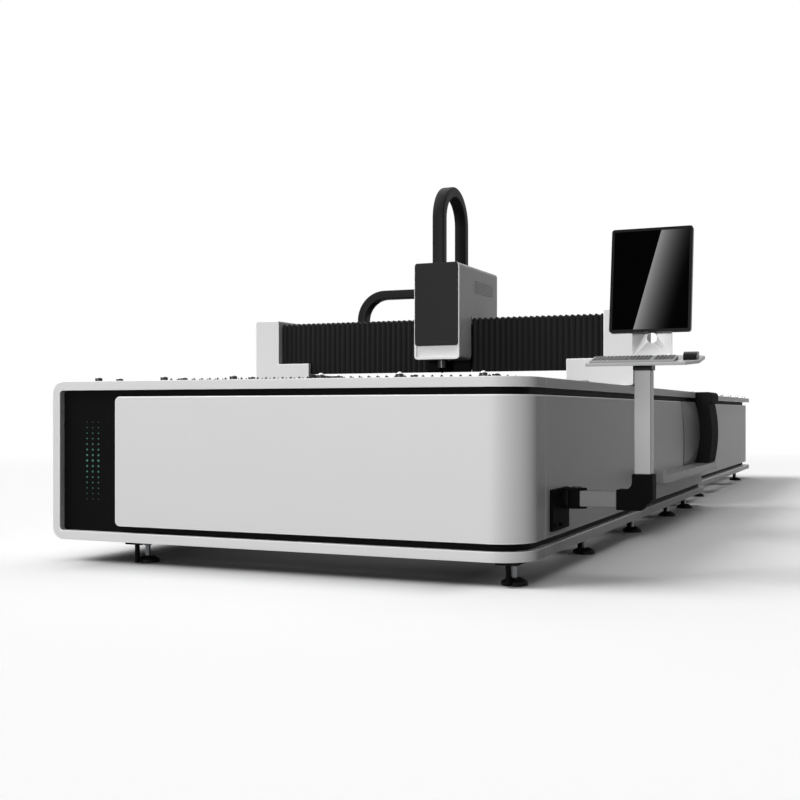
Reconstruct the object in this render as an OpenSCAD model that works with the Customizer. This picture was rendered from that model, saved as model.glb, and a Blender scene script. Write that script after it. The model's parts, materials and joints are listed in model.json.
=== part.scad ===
// Fiber laser cutting machine: open bed with a moving gantry, a cutting head,
// a swinging operator console and a rear shuttle table.
// The machine is drawn with x from the bed's centre line, y from its front face and z from the floor.

/* [Bed shell] */
// Width of the bed
bed_w = 2360; // [2200:10:2600]
// Length of the bed
bed_l = 4500; // [4400:10:4600]
// Height of the bed's underside above the floor
floor_gap = 100; // [90:1:130]
// Height of the bed from its lower rail to its upper rail
bed_h = 750; // [740:1:780]
// Height of each painted rail
rail_h = 43; // [35:1:50]
// Width of the upper rail, seen from above
rail_w = 46; // [42:1:60]
// Width of the lower rail, seen from above
base_w = 140; // [130:1:170]
// Height of the black gap between a rail and its panel
gap_h = 30; // [20:1:40]
// Depth of the black recess behind the rail faces
recess = 34; // [28:1:40]
// Thickness of the black liner in the recess
liner_t = 6; // [4:1:10]
// How far a panel's face lies behind the rail faces
panel_set = 3; // [1:1:8]
// Radius of the front right corner, seen from above
corner_r = 165; // [140:1:200]
// Outer radius of the front frame's left corners
frame_r = 60; // [50:1:80]
// Width of the front left post
post_w = 43; // [35:1:50]
// Inner corner radius of the front left post
post_in_r = 18; // [10:1:25]
// Left edge of the front panel, from the bed's left side
front_panel_x = 362; // [320:1:420]
// Corner radius of the front panel's left edge
panel_r = 25; // [15:1:40]
// Seam between the front panel and the right panel, from the front
seam_y = 275; // [240:1:320]
// Width of the seams between panels
seam_gap = 4; // [2:1:6]
// Depth of the seams in the rails
seam_d = 4; // [2:0.5:5]

/* [Right side bay] */
// Distance from the middle of the right panel's bowed rear edge to the bed's rear
bay_rear = 860; // [800:10:1000]
// How far the right panel's rear edge bows out
edge_bow = 120; // [80:1:150]
// How far the bay panel bulges out at the pod
bay_bulge = 35; // [20:1:50]
// Distance of the side pod from the bed's rear
pod_rear = 50; // [20:5:80]
// Length of the side pod
pod_l = 325; // [280:5:340]
// How far the side pod stands out from the bed's side
pod_out = 117; // [90:1:130]
// Height of the side pod's cap
cap_h = 80; // [74:1:100]
// Radius of the cap's outer edge
cap_r = 28; // [10:1:35]
// How far the pod's body bulges out between its edges
pod_bulge = 25; // [15:1:40]
// Front end of the sill ledge
sill_y = 2303; // [2200:1:2400]
// Distance of the sill ledge's rear end from the bed's rear
sill_rear = 133; // [60:1:200]
// Height of the sill's top above the bed's underside
sill_up = 236; // [210:1:250]
// Height of the sill's folded flange
sill_h = 47; // [40:1:60]
// Thickness of the sill's sheet
sill_t = 6; // [4:1:8]
// Length of the block at the sill's front end
block_l = 53; // [40:1:70]
// Height of the block at the sill's front end
block_h = 78; // [70:1:100]
// Height of the block's top above the sill's
block_up = 35; // [20:1:45]
// Distance of the strip below the sill from the bed's rear
strip_rear = 73; // [60:1:100]

/* [Bed inside] */
// Width of a side beam of the bed
beam_w = 278; // [260:1:290]
// Gap between the bed's sides and its side beams
side_gap = 62; // [56:1:70]
// Depth of the side beams' tops below the upper rail's top
beam_drop = 70; // [66:1:80]
// Gap between the side beams' ends and the liner
beam_end = 40; // [30:1:50]
// Height of a cross member
cross_h = 200; // [150:10:260]
// Width of a cross member
cross_w = 160; // [120:10:200]
// Number of cross members in the bed
bed_crosses = 5; // [3:1:7]
// Number of cross members in the shuttle table
table_crosses = 4; // [3:1:6]
// Depth of the rear panel's top below the upper rail's top
rear_drop = 210; // [200:5:290]
// Thickness of the plain rear plates
plate_t = 6; // [4:1:10]
// Depth of the loading deck behind the front rail
deck_d = 360; // [340:5:380]
// Thickness of the loading deck
deck_t = 14; // [8:1:20]

/* [Status lights] */
// Columns of lights
led_cols = 3; // [1:1:4]
// Rows of lights
led_rows = 15; // [9:2:19]
// Spacing of the columns
led_dx = 33; // [25:1:36]
// Spacing of the rows
led_dz = 26; // [20:1:30]
// Diameter of the largest light
led_big = 11; // [8:1:14]
// Diameter of the smallest light
led_small = 4; // [2:1:6]
// How far a light stands out of the liner
led_out = 1.5; // [1:0.1:3]
// Centre of the lights, from the bed's left side
led_x = 212; // [180:1:240]

/* [Loading balls] */
// Pairs of ball units on each half of the deck
ball_pairs = 3; // [2:1:4]
// First pair of ball units, from the centre line
ball_x = 222; // [200:1:240]
// Last pair of ball units, from the bed's side
ball_edge = 210; // [190:5:260]
// Distance from the front face to the first row
ball_y = 80; // [75:5:100]
// Distance between the two rows
ball_dy = 160; // [120:5:180]
// Diameter of a ball
ball_d = 24; // [16:1:30]
// Height of the balls above the upper rail
ball_up = 25; // [22:1:34]
// Diameter of a ball unit's stem
stem_d = 20; // [12:1:28]
// Diameter of a ball unit's cup
cup_d = 34; // [30:1:40]
// Height of a ball unit's cup
cup_h = 20; // [14:1:24]
// Running gap round a ball
ball_clear = 0.3; // [0.1:0.05:0.5]

/* [Guides] */
// Linear rail's centre, from the bed's side
guide_in = 170; // [160:1:180]
// Width of a linear rail
guide_w = 34; // [25:1:40]
// Height of a linear rail
guide_h = 28; // [22:1:30]
// Distance of the rails' front end from the front face
guide_y = 430; // [420:5:480]
// Distance of the rails' rear end from the bed's rear
guide_end = 80; // [60:5:120]
// Width of a gear rack
rack_w = 22; // [15:1:30]
// Height of a gear rack
rack_h = 24; // [15:1:26]
// Gear rack's centre, from the bed's side
rack_in = 95; // [85:1:100]
// Running gap of sliding fits
slide_gap = 0.3; // [0.3:0.05:0.5]
// Clear gap between moving covers and the rails below them
cover_gap = 3; // [2:0.5:6]

/* [Feet] */
// Diameter of a foot's pad
pad_d = 110; // [90:1:116]
// Height of a foot's pad
pad_h = 30; // [20:1:36]
// Chamfer round the pad's top
pad_c = 14; // [8:1:16]
// Diameter of the pad's top
pad_top = 56; // [44:1:62]
// Diameter of a foot's screw
screw_d = 24; // [16:1:30]
// Width of a foot's nut across its corners
nut_d = 41; // [34:1:52]
// Height of a foot's nut
nut_h = 12; // [8:1:16]
// Thickness of a foot's bracket
bracket_t = 8; // [5:1:12]
// Width of a foot's bracket across the bed
bracket_w = 92; // [80:1:104]
// Distance from a foot's screw or rod to its bracket's end
bracket_end = 30; // [24:1:32]
// Diameter of a jack rod
jack_d = 22; // [16:1:28]
// Distance from a foot to its jack rod
jack_dy = 82; // [72:1:84]
// Distance of a jack rod's end from the floor
jack_gap = 6; // [3:1:12]
// Distance of the bed's feet from its side
foot_in = 88; // [70:1:90]
// Front left foot, from the bed's left side
foot_left = 468; // [440:1:500]
// First bed foot, from the front
foot_y0 = 115; // [110:1:130]
// Last bed foot, from the rear
foot_end = 320; // [250:5:400]
// Spacing of the bed's feet
foot_dy = 1125; // [1000:5:1200]
// Distance of the table's feet from its side
table_foot_in = 78; // [70:1:90]
// Table's first foot, from its front end
table_foot_y = 825; // [600:5:900]
// Table's last foot, from its rear end
table_foot_end = 550; // [450:5:700]

/* [Pallet] */
// Gap between the pallet and the side beams
pallet_gap = 28; // [25:1:40]
// Front end of the pallet
pallet_y = 440; // [430:1:460]
// Length of the pallet
pallet_l = 3880; // [3600:10:3900]
// Width of the pallet's tubes
pallet_tube = 60; // [50:1:70]
// Height of the pallet's tubes
pallet_tube_h = 80; // [60:1:90]
// Depth of the pallet's underside below the upper rail's top
pallet_drop = 160; // [150:1:170]
// Width of a pallet track
track_w = 80; // [60:1:90]
// Height of a pallet track
track_h = 30; // [20:1:40]
// Spacing of the slats
slat_dy = 120; // [100:1:150]
// Thickness of a slat
slat_t = 5; // [4:0.5:6]
// Spacing of the slats' teeth
tooth_dx = 46; // [36:1:50]
// Height of the slats' teeth
tooth_h = 26; // [18:1:30]
// Height of the slats' tips above the upper rail
slat_up = 26; // [24:1:40]
// Overhang of the slats past the pallet's sides
slat_wing = 126; // [90:1:128]
// Height of the slats' overhang above the side beams
wing_up = 30; // [26:1:36]

/* [Shuttle table] */
// How far the table's side lies inside the bed's side
table_in = 112; // [90:1:120]
// Gap between the bed and the table
table_gap = 75; // [60:1:90]
// Length of the table
table_l = 3825; // [3780:5:3950]
// How far the table's rails stand proud of its panels
table_set = 30; // [20:1:36]
// Guide rollers along each table side
roller_n = 7; // [4:1:9]
// Diameter of a guide roller
roller_d = 36; // [24:1:40]
// Height of a guide roller
roller_h = 20; // [14:1:28]
// Height of a tie bar between bed and table
tie_h = 110; // [80:1:140]

/* [Gantry] */
// Front of the gantry, from the bed's front face
gantry_y = 1912; // [1880:1:1940]
// Length of the gantry along the bed
gantry_l = 500; // [470:1:520]
// How far the end housings overhang the bed's sides
end_over = 15; // [10:1:20]
// Width of an end housing's upper part
end_w = 165; // [150:1:175]
// Height of the end housings above the upper rail
end_h = 426; // [418:1:450]
// Length of an end housing's foot past its upper part
end_foot = 212; // [200:1:213]
// Height of an end housing's foot above the upper rail
foot_h = 155; // [140:1:160]
// Thickness of the foot's front plate
foot_t = 33; // [28:1:34]
// Clear height of the foot above the slats
foot_clear = 4; // [3:1:16]
// Clear width of the foot beside the slats' ends
foot_side = 12; // [8:1:16]
// Corner radius of the end housings' covers
end_r = 12; // [6:1:20]
// Length of a bearing block
bearing_l = 110; // [90:1:130]
// Width of a bearing block
bearing_w = 76; // [66:1:84]
// Thickness of a bearing block above its rail
bearing_t = 20; // [14:1:26]
// Distance of the bearing blocks from the end housing's ends
bearing_in = 50; // [40:1:70]
// Distance from the gantry's front to the bellows
bellows_in = 38; // [36:1:42]
// Height of the bellows' lower edge above the upper rail
bellows_up = 90; // [88:1:110]
// Height of the bellows
bellows_h = 318; // [310:1:322]
// Depth of a pleat
pleat_d = 14; // [10:1:16]
// Length of a pleat
pleat_p = 34; // [28:1:40]
// Thickness of the pleated sheet
bellows_t = 4; // [3:0.5:5]
// Distance from the gantry's front to the beam
beam_front = 98; // [96:1:102]
// Depth of the gantry beam
beam_d = 200; // [180:1:220]
// Height of the gantry beam
beam_h = 270; // [250:1:274]
// Height of the gantry beam's underside above the upper rail
beam_up = 110; // [100:1:114]
// Wall of the gantry beam
beam_t = 10; // [6:1:14]
// Depth of an X rail
xrail_d = 22; // [18:1:24]
// Height of an X rail
xrail_h = 24; // [20:1:30]
// Distance of the X rails from the beam's edges
xrail_in = 36; // [28:1:50]
// Depth of the chain tray
tray_gutter = 126; // [110:1:140]
// Thickness of the chain tray
gutter_t = 6; // [4:1:8]
// Height of the chain tray's flange
gutter_h = 60; // [40:1:80]

/* [Cutting head] */
// Left side of the head housing, from the centre line
head_x = -40; // [-50:1:-20]
// Width of the head housing
head_w = 278; // [260:1:290]
// Front of the head cover, from the gantry's front
head_front = 173; // [160:1:190]
// Rear end of the head housing, from the gantry's front
head_rear = 510; // [500:1:530]
// Height of the head housing's bottom above the upper rail
head_low = 158; // [156:1:162]
// Height of the head housing
head_h = 554; // [532:1:572]
// Height of the dark cover's bottom above the housing's
cover_low = 79; // [62:1:100]
// Thickness of the dark cover
cover_t = 12; // [8:1:16]
// Painted border beside the cover
cover_in = 7; // [5:1:10]
// Corner radius of the head housing
head_r = 22; // [14:1:28]
// Wall of the head housing
head_t = 4; // [3:0.5:6]
// Gap between the housing's rear part and the bellows
head_clear = 8; // [6:1:12]
// Thickness of the carriage plate
carriage_t = 22; // [18:1:24]
// Vent slits in each row
vent_n = 7; // [4:1:8]
// Length of a vent slit
vent_l = 340; // [280:1:350]
// Height of a vent slit
vent_h = 3; // [2:0.5:5]
// Spacing of the vent slits
vent_dz = 11; // [9:1:13]
// Distance of the vent slits from the housing's rear
vent_in = 77; // [60:1:90]
// Depth of the first vent slit below the housing's top
vent_down = 88; // [70:1:100]
// Width of the cutting head's body
tool_w = 72; // [60:1:80]
// Depth of the cutting head's body
tool_d = 80; // [70:1:90]
// Height of the cutting head's body
tool_h = 250; // [200:1:280]
// Diameter of the cutting head's lower tube
tube_d = 50; // [40:1:56]
// Height of the nozzle's tip above the upper rail
tip_up = 82; // [81:1:90]
// Height of the nozzle
nozzle_h = 28; // [20:1:32]
// Travel of the head upwards
head_up = 80; // [60:1:90]
// Travel of the head downwards
head_down = 40; // [20:1:42]
// Gap round the head in its housing
tool_gap = 12; // [8:1:16]
// Depth of the head's rail
z_rail_d = 16; // [12:1:18]
// Width of the head's rail
z_rail_w = 30; // [24:1:36]

/* [Cable carriers] */
// Width of the cable loop
loop_w = 70; // [60:1:80]
// Thickness of the cable loop
loop_t = 60; // [45:1:64]
// Distance between the loop's legs
loop_d = 365; // [340:1:380]
// Height of the loop above the head housing
loop_h = 480; // [420:5:520]
// Front leg of the loop, from the gantry's front
loop_y = -72; // [-80:1:-66]
// Left side of the loop, from the housing's left side
loop_x = 88; // [76:1:96]
// Gap round the loop in the housing's top
loop_gap = 4; // [2:0.5:8]
// Width of the X chain
chain_w = 80; // [60:1:90]
// Thickness of the X chain
chain_t = 54; // [46:1:60]
// Outer bend radius of the X chain
chain_r = 185; // [175:1:186]
// Depth of the chain's top below the head housing's top
chain_drop = 89; // [82:1:94]
// Reach of the X chain past the housing's left side
chain_reach = 596; // [580:1:630]
// Fixed end of the X chain, from the centre line
chain_fixed = 100; // [60:1:140]

/* [Console] */
// Front edge of the arm's bracket, from the bed's front face
arm_plate_y = 333; // [310:1:360]
// Thickness of the arm's bracket plate
arm_plate_t = 15; // [10:1:20]
// Height of the arm's bracket above the bed's underside
arm_plate_up = 99; // [80:1:110]
// Height of the arm's bracket
arm_plate_h = 177; // [170:1:190]
// Swing axis, from the bed's side
swing_x = 58; // [56:1:64]
// Swing axis, from the bed's front face
swing_y = 549; // [540:1:560]
// Width of the square arm and post
arm_w = 70; // [60:1:76]
// Centre height of the arm above the bed's underside
arm_up = 229; // [225:1:232]
// Width of the elbow
elbow_w = 88; // [84:1:94]
// Inner end of the elbow, from the bed's side
elbow_x = 240; // [230:1:260]
// Centre of the post, from the bed's side
post_x = 351; // [345:1:360]
// Height of the elbow's upright above the arm's centre
elbow_up = 111; // [100:1:120]
// Chamfer of the elbow's outer corner
elbow_c = 50; // [30:1:60]
// Top of the post above the bed's underside
post_up = 783; // [770:1:800]
// Diameter of the swing pin
pin_d = 24; // [20:1:28]
// Diameter of the swing pin's head
pin_head_d = 38; // [32:1:44]
// Height of the swing pin's head
pin_head_h = 6; // [4:1:8]
// Width of the knuckle at the arm's hinge
knuckle_w = 78; // [76:1:82]
// Reach of the knuckle past the swing axis
knuckle_l = 20; // [14:1:24]
// Thickness of a bracket lug
lug_t = 9; // [7:1:9]
// Running gap round the pins
pin_gap = 0.1; // [0.05:0.01:0.1]
// Diameter of the post's spigot
spigot_d = 50; // [40:1:56]
// Height of the post's spigot
spigot_h = 26; // [20:1:28]
// Width of the tray's hub
hub_w = 80; // [76:1:90]
// Height of the tray's hub at the post
hub_h = 40; // [36:1:50]
// Left end of the tray, from the bed's side
tray_x = 138; // [130:1:160]
// Width of the tray
tray_w = 464; // [440:1:480]
// Depth of the tray
tray_d = 250; // [240:1:270]
// Thickness of the tray
tray_t = 14; // [10:1:18]
// Chamfer of the tray's right corners
tray_c = 50; // [30:1:70]
// Tilt of the tray, front edge down
tray_tilt = 9; // [5:1:12]
// Distance from the tray's front edge to the post
tray_back = 174; // [165:1:180]
// Width of the keyboard
key_w = 354; // [320:1:370]
// Depth of the keyboard
key_d = 96; // [85:1:105]
// Height of the keyboard
key_h = 16; // [12:1:20]
// Width of the mouse
mouse_w = 56; // [50:1:60]
// Length of the mouse
mouse_l = 96; // [85:1:105]
// Height of the mouse
mouse_h = 30; // [24:1:34]

/* [Monitor] */
// Width of the monitor
mon_w = 340; // [320:1:360]
// Height of the monitor
mon_h = 448; // [430:1:470]
// Thickness of the monitor
mon_t = 24; // [22:1:30]
// Corner radius of the monitor
mon_r = 12; // [6:1:20]
// Width of the monitor's bezel
bezel = 12; // [8:1:16]
// Depth of the screen's pocket
pocket = 4; // [3:0.5:5]
// Centre of the monitor, from the bed's side
mon_x = 394; // [385:1:400]
// Front of the monitor at its tilt axis, from the bed's front face
mon_y = 462; // [455:1:470]
// Height of the tilt axis above the bed's underside
mon_up = 1080; // [1070:1:1100]
// Distance from the tilt axis to the monitor's lower edge
mon_low = 148; // [140:1:156]
// Backward tilt of the monitor
mon_tilt = 8; // [4:1:10]
// Width of the monitor's stand
stand_w = 166; // [150:1:180]
// Thickness of the monitor's stand
stand_t = 12; // [10:1:14]
// Depth of the stand's foot
stand_d = 90; // [80:1:95]
// Cable hole in the stand
hole_d = 44; // [36:1:50]
// Height of the cable hole above the bed's underside
hole_up = 918; // [912:1:924]
// Outer diameter of the tilt hinge's knuckles
knuckle_d = 28; // [24:1:30]
// Gap between the monitor's back and the knuckles
knuckle_gap = 6; // [4:1:8]
// Diameter of the tilt hinge's pin
tilt_d = 12; // [10:1:14]
// Width of the monitor's hinge lug
lug_w = 70; // [60:1:80]

/* [Hidden] */
$fn = 64;
lap = 1;
min_r = 5;

// Bed levels and half widths
half = bed_w / 2;
top_z = floor_gap + bed_h;
low_z = floor_gap + rail_h;
high_z = top_z - rail_h;
pan_z0 = low_z + gap_h;
pan_z1 = high_z - gap_h;
pan_h = pan_z1 - pan_z0;
pan_mid = (pan_z0 + pan_z1) / 2;
beam_x1 = half - side_gap;
beam_x0 = beam_x1 - beam_w;
beam_top = top_z - beam_drop;
inner = recess + liner_t;
beam_y0 = inner + beam_end;
beam_y1 = bed_l - beam_y0;

// Side bay
sill_z = floor_gap + sill_up;
right_panel_end = bed_l - bay_rear;
bay_y0 = right_panel_end - edge_bow;
pod_y = bed_l - pod_rear - pod_l;
sill_end = bed_l - sill_rear;

// Shuttle table
table_y = bed_l + table_gap;
table_end = table_y + table_l;
table_hw = half - table_in;
table_face = table_set + recess - panel_set;
table_inner = table_face + liner_t;
table_beam_y0 = table_y + beam_end;
table_beam_y1 = table_end - table_inner - beam_end;
tie_z = low_z + cross_h;

// Pallet and its track
pallet_hw = beam_x0 - pallet_gap;
pallet_z = top_z - pallet_drop;
track_z = pallet_z - slide_gap;
slat_top = top_z + slat_up;
slat_hw = pallet_hw + slat_wing;
slat_n = floor((pallet_l - 2 * pallet_tube) / slat_dy);
tooth_n = floor(2 * slat_hw / tooth_dx);

// Gantry
end_x1 = half + end_over;
end_x0 = end_x1 - end_w;
end_z0 = top_z + cover_gap;
end_top = top_z + end_h;
foot_x = end_x0 - end_foot;
guide_x = half - guide_in;
rack_x = half - rack_in;
guide_top = beam_top + guide_h;
bearing_top = guide_top + slide_gap + bearing_t;
beam_y = gantry_y + beam_front;
gbeam_z = top_z + beam_up;
bellows_y = gantry_y + bellows_in;
bellows_z = top_z + bellows_up;
bellows_top = bellows_z + bellows_h;

// Head
head_x1 = head_x + head_w;
head_z = top_z + head_low;
head_top = head_z + head_h;
head_y0 = gantry_y - head_front + cover_t;
head_y1 = gantry_y + head_rear;
head_back = bellows_top + head_clear;
carriage_y = bellows_y;
tool_x = head_x + head_w / 2;
tool_y = gantry_y + loop_y;
tip_z = top_z + tip_up;
tool_z = head_z + head_t + head_down + tool_gap;
tool_top = tool_z + tool_h;

// Chain and loop
chain_top = head_top - chain_drop;
chain_low = chain_top - 2 * chain_r;
chain_left = head_x - chain_reach;
chain_y = beam_y + beam_d + (tray_gutter - chain_w) / 2;

// Console
swing_z0 = floor_gap + arm_up - arm_w / 2;
swing_z1 = floor_gap + arm_up + arm_w / 2;
post_z0 = floor_gap + arm_up + elbow_up;
post_z1 = floor_gap + post_up;
hub_z = post_z1 + slide_gap + hub_h;
mon_z = floor_gap + mon_up;
hole_z = floor_gap + hole_up;
stand_y = mon_y + mon_t + knuckle_d / 2 + knuckle_gap;

// The origin is the middle of the whole machine's footprint
mid_x = (half + tray_x + tray_w - end_x1) / 2;
mid_y = table_end / 2;

module place() {
    translate([-mid_x, -mid_y, 0])
        children();
}

// A block from one corner to the other
module block(a, b) {
    translate(a)
        cube([b[0] - a[0], b[1] - a[1], b[2] - a[2]]);
}

// A pair of like pieces on both sides of the centre line
module both_sides() {
    children();
    mirror([1, 0, 0])
        children();
}

// Rectangle from the origin with four round corners
module round_rect(w, h, r) {
    translate([r, 0])
        square([w - 2 * r, h]);
    translate([0, r])
        square([w, h - 2 * r]);
    for (x = [r, w - r], y = [r, h - r])
        translate([x, y])
            circle(r);
}

// A section drawn in x and z, run along y
module along_y(y0, y1) {
    translate([0, y1, 0])
        rotate([90, 0, 0])
            linear_extrude(y1 - y0)
                children();
}

// A section drawn in y and z, run along x
module along_x(x0, x1) {
    translate([x0, 0, 0])
        rotate([90, 0, 90])
            linear_extrude(x1 - x0)
                children();
}

// The bed's outline from above, moved inwards, with its round front right corner
module plan(inset) {
    r = max(corner_r - inset, min_r);
    hw = half - inset;
    translate([-hw, inset])
        square([2 * hw - r, bed_l - 2 * inset]);
    translate([hw - r, inset + r])
        square([r, bed_l - 2 * inset - r]);
    translate([hw - r, inset + r])
        circle(r);
}

// A band of the bed's outline between two insets
module plan_band(outer, inner) {
    difference() {
        plan(outer);
        plan(inner);
    }
}

// The bed's front outline with its round left corners
module front_outline() {
    translate([-half, floor_gap])
        round_rect(2 * bed_w, bed_h, frame_r);
}

// Radius of an arc from its chord and its rise
function arc_r(chord, rise) = (chord * chord / 4 + rise * rise) / (2 * rise);

// Cross members between two side beams
module cross_members(n, y0, y1) {
    for (i = [0 : n - 1])
        translate([-beam_x0 - lap, y0 + i * (y1 - y0 - cross_w) / (n - 1), low_z])
            cube([2 * (beam_x0 + lap), cross_w, cross_h]);
}

module bed_frame() {
    color("dimgray") {
        intersection() {
            both_sides()
                block([beam_x0, beam_y0, low_z], [beam_x1, beam_y1, beam_top]);
            translate([0, 0, low_z])
                linear_extrude(beam_top - low_z)
                    plan(side_gap);
        }
        cross_members(bed_crosses, beam_y0, beam_y1);
    }
}

// The groove where the rails' front part meets their right side
module rail_seam() {
    block([half - seam_d, seam_y - seam_gap / 2, 0], [half + lap, seam_y + seam_gap / 2, top_z + lap]);
}

// The corner of the rails that the front left post fills
module post_corner() {
    block([-half - lap, -lap, 0], [-half + frame_r, recess, top_z + lap]);
}

module lower_rail() {
    color("gainsboro")
        difference() {
            intersection() {
                translate([0, 0, floor_gap])
                    linear_extrude(rail_h)
                        plan_band(0, base_w);
                along_y(0, bed_l)
                    front_outline();
            }
            post_corner();
            rail_seam();
        }
}

module upper_rail() {
    color("gainsboro")
        difference() {
            intersection() {
                translate([0, 0, high_z])
                    linear_extrude(rail_h)
                        plan_band(0, rail_w);
                along_y(0, bed_l)
                    front_outline();
            }
            post_corner();
            rail_seam();
            block([-half + rail_w, bed_l - rail_w - lap, 0], [half - rail_w, bed_l + lap, top_z + lap]);
        }
}

module front_left_post() {
    color("gainsboro")
        along_y(0, recess)
            difference() {
                intersection() {
                    front_outline();
                    translate([-half, floor_gap])
                        square([frame_r, bed_h]);
                }
                translate([-half + post_w, low_z])
                    round_rect(bed_w, high_z - low_z, post_in_r);
            }
}

module recess_liner() {
    color("black")
        difference() {
            translate([0, 0, low_z])
                linear_extrude(high_z - low_z)
                    plan_band(recess, inner);
            block([-half + inner, bed_l - inner - lap, 0], [half - inner, bed_l, top_z]);
        }
}

module front_panel() {
    color("lightgray")
        intersection() {
            translate([0, 0, pan_z0])
                linear_extrude(pan_h)
                    plan_band(panel_set, recess);
            along_y(0, seam_y - seam_gap / 2)
                translate([-half + front_panel_x, pan_z0])
                    round_rect(2 * bed_w, pan_h, panel_r);
        }
}

// The right panel in y and z, with its bowed rear edge moved back
module right_outline(shift) {
    r = arc_r(pan_h, edge_bow);
    translate([seam_y + seam_gap / 2, pan_z0])
        square([bay_y0 + shift - seam_y - seam_gap / 2, pan_h]);
    intersection() {
        translate([bay_y0 + shift - lap, pan_z0])
            square([edge_bow + lap, pan_h]);
        translate([right_panel_end + shift - r, pan_mid])
            circle(r);
    }
}

module right_panel() {
    color("lightgray")
        along_x(half - recess, half - panel_set) {
            right_outline(0);
            translate([bay_y0 - lap, pan_z0])
                square([bed_l - strip_rear - bay_y0 + lap, sill_z - sill_t - pan_z0]);
        }
}

module left_panel() {
    color("lightgray")
        block([-half + panel_set, recess, pan_z0], [-half + recess, bed_l - recess, pan_z1]);
}

// A flat-backed section in x and z that bulges outwards between two levels
module bulge(x0, x1, rise, z0, z1) {
    r = arc_r(z1 - z0, rise);
    intersection() {
        translate([x0, z0])
            square([x1 - x0 + rise, z1 - z0]);
        translate([x1 + rise - r, (z0 + z1) / 2])
            circle(r);
    }
}

module bay_panel() {
    color("dimgray")
        difference() {
            intersection() {
                along_y(bay_y0, pod_y)
                    bulge(half - recess, half - panel_set, bay_bulge, sill_z, pan_z1);
                linear_extrude(top_z)
                    polygon([
                        [half - recess - lap, bay_y0 - lap],
                        [half - 2 * panel_set, bay_y0 - lap],
                        [half - panel_set + bay_bulge + lap, pod_y + lap],
                        [half - recess - lap, pod_y + lap]
                    ]);
            }
            along_x(half - recess - lap, half + bay_bulge + lap)
                right_outline(seam_gap);
        }
}

module side_pod() {
    color("black")
        along_y(pod_y, pod_y + pod_l) {
            bulge(half - recess, half + pod_out - pod_bulge, pod_bulge, sill_z, top_z - cap_h + lap);
            translate([half - recess, top_z - cap_h])
                square([recess + pod_out, cap_h - rail_h]);
            translate([half, high_z - lap])
                square([pod_out - cap_r, rail_h + lap]);
            translate([half, high_z - lap])
                square([pod_out, rail_h + lap - cap_r]);
            translate([half + pod_out - cap_r, top_z - cap_r])
                circle(cap_r);
        }
}

module sill_ledge() {
    color("gray")
        along_y(sill_y, sill_end) {
            translate([half - panel_set, sill_z - sill_t])
                square([panel_set + pod_out, sill_t]);
            translate([half + pod_out - sill_t, sill_z - sill_h])
                square([sill_t, sill_h]);
        }
}

module sill_block() {
    color("gray")
        block([half - panel_set, sill_y - block_l, sill_z + block_up - block_h],
              [half + pod_out, sill_y, sill_z + block_up]);
}

module rear_panel() {
    color("gainsboro")
        block([-beam_x0, beam_y1 - plate_t, low_z + cross_h], [beam_x0, beam_y1, top_z - rear_drop]);
}

// Status lights that grow towards the middle row
module status_lights() {
    mid = (led_rows - 1) / 2;
    color("seagreen")
        for (c = [0 : led_cols - 1], r = [0 : led_rows - 1]) {
            d = led_big - (led_big - led_small) * abs(r - mid) / mid;
            x = -half + led_x + (c - (led_cols - 1) / 2) * led_dx;
            translate([x, recess, pan_mid + (r - mid) * led_dz])
                rotate([90, 0, 0])
                    cylinder(d = d, h = led_out, $fn = 24);
        }
}

module loading_deck() {
    color("dimgray")
        translate([0, 0, beam_top])
            linear_extrude(deck_t)
                intersection() {
                    plan(rail_w);
                    translate([-half, 0])
                        square([bed_w, rail_w + deck_d]);
                }
}

// A stem with a cup that holds a free ball
module ball_unit() {
    base = beam_top + deck_t;
    centre = top_z + ball_up - ball_d / 2;
    cup_z = centre + ball_d / 8 - cup_h;
    translate([0, 0, base])
        cylinder(d = stem_d, h = cup_z - base + lap);
    difference() {
        translate([0, 0, cup_z])
            cylinder(d = cup_d, h = cup_h);
        translate([0, 0, centre])
            sphere(d = ball_d + 2 * ball_clear);
    }
    translate([0, 0, centre])
        sphere(d = ball_d);
}

module ball_units() {
    ball_dx = (half - ball_edge - ball_x) / (ball_pairs - 1);
    color("silver")
        both_sides()
            for (i = [0 : ball_pairs - 1], k = [0, 1])
                translate([ball_x + i * ball_dx, ball_y + k * ball_dy, 0])
                    ball_unit();
}

module linear_rails() {
    color("silver")
        both_sides()
            block([guide_x - guide_w / 2, guide_y, beam_top],
                  [guide_x + guide_w / 2, bed_l - guide_end, guide_top]);
}

module gear_racks() {
    color("gray")
        both_sides()
            block([rack_x - rack_w / 2, guide_y, beam_top],
                  [rack_x + rack_w / 2, bed_l - guide_end, beam_top + rack_h]);
}

module pallet_tracks() {
    color("silver")
        both_sides() {
            block([beam_x0 - track_w, pallet_y, track_z - track_h], [beam_x0, beam_y1, track_z]);
            block([beam_x0 - track_w, table_beam_y0, track_z - track_h], [beam_x0, table_beam_y1, track_z]);
        }
}

// Places of the levelling feet on the bed and on the table
module at_feet() {
    spaced = floor((bed_l - foot_end - foot_y0) / foot_dy);
    ys = concat([for (i = [0 : spaced]) foot_y0 + i * foot_dy], [bed_l - foot_end]);
    for (s = [-1, 1], i = [0 : len(ys) - 1])
        translate([s < 0 && i == 0 ? -half + foot_left : s * (half - foot_in), ys[i], 0])
            children();
    for (s = [-1, 1], y = [table_y + table_foot_y, table_end - table_foot_end])
        translate([s * (table_hw - table_foot_in), y, 0])
            children();
}

module foot_brackets() {
    color("black")
        at_feet() {
            block([-bracket_w / 2, -jack_dy - bracket_end, floor_gap - bracket_t],
                  [bracket_w / 2, bracket_end, floor_gap]);
            translate([0, -jack_dy, jack_gap])
                cylinder(d = jack_d, h = floor_gap - bracket_t - jack_gap + lap);
        }
}

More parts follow.
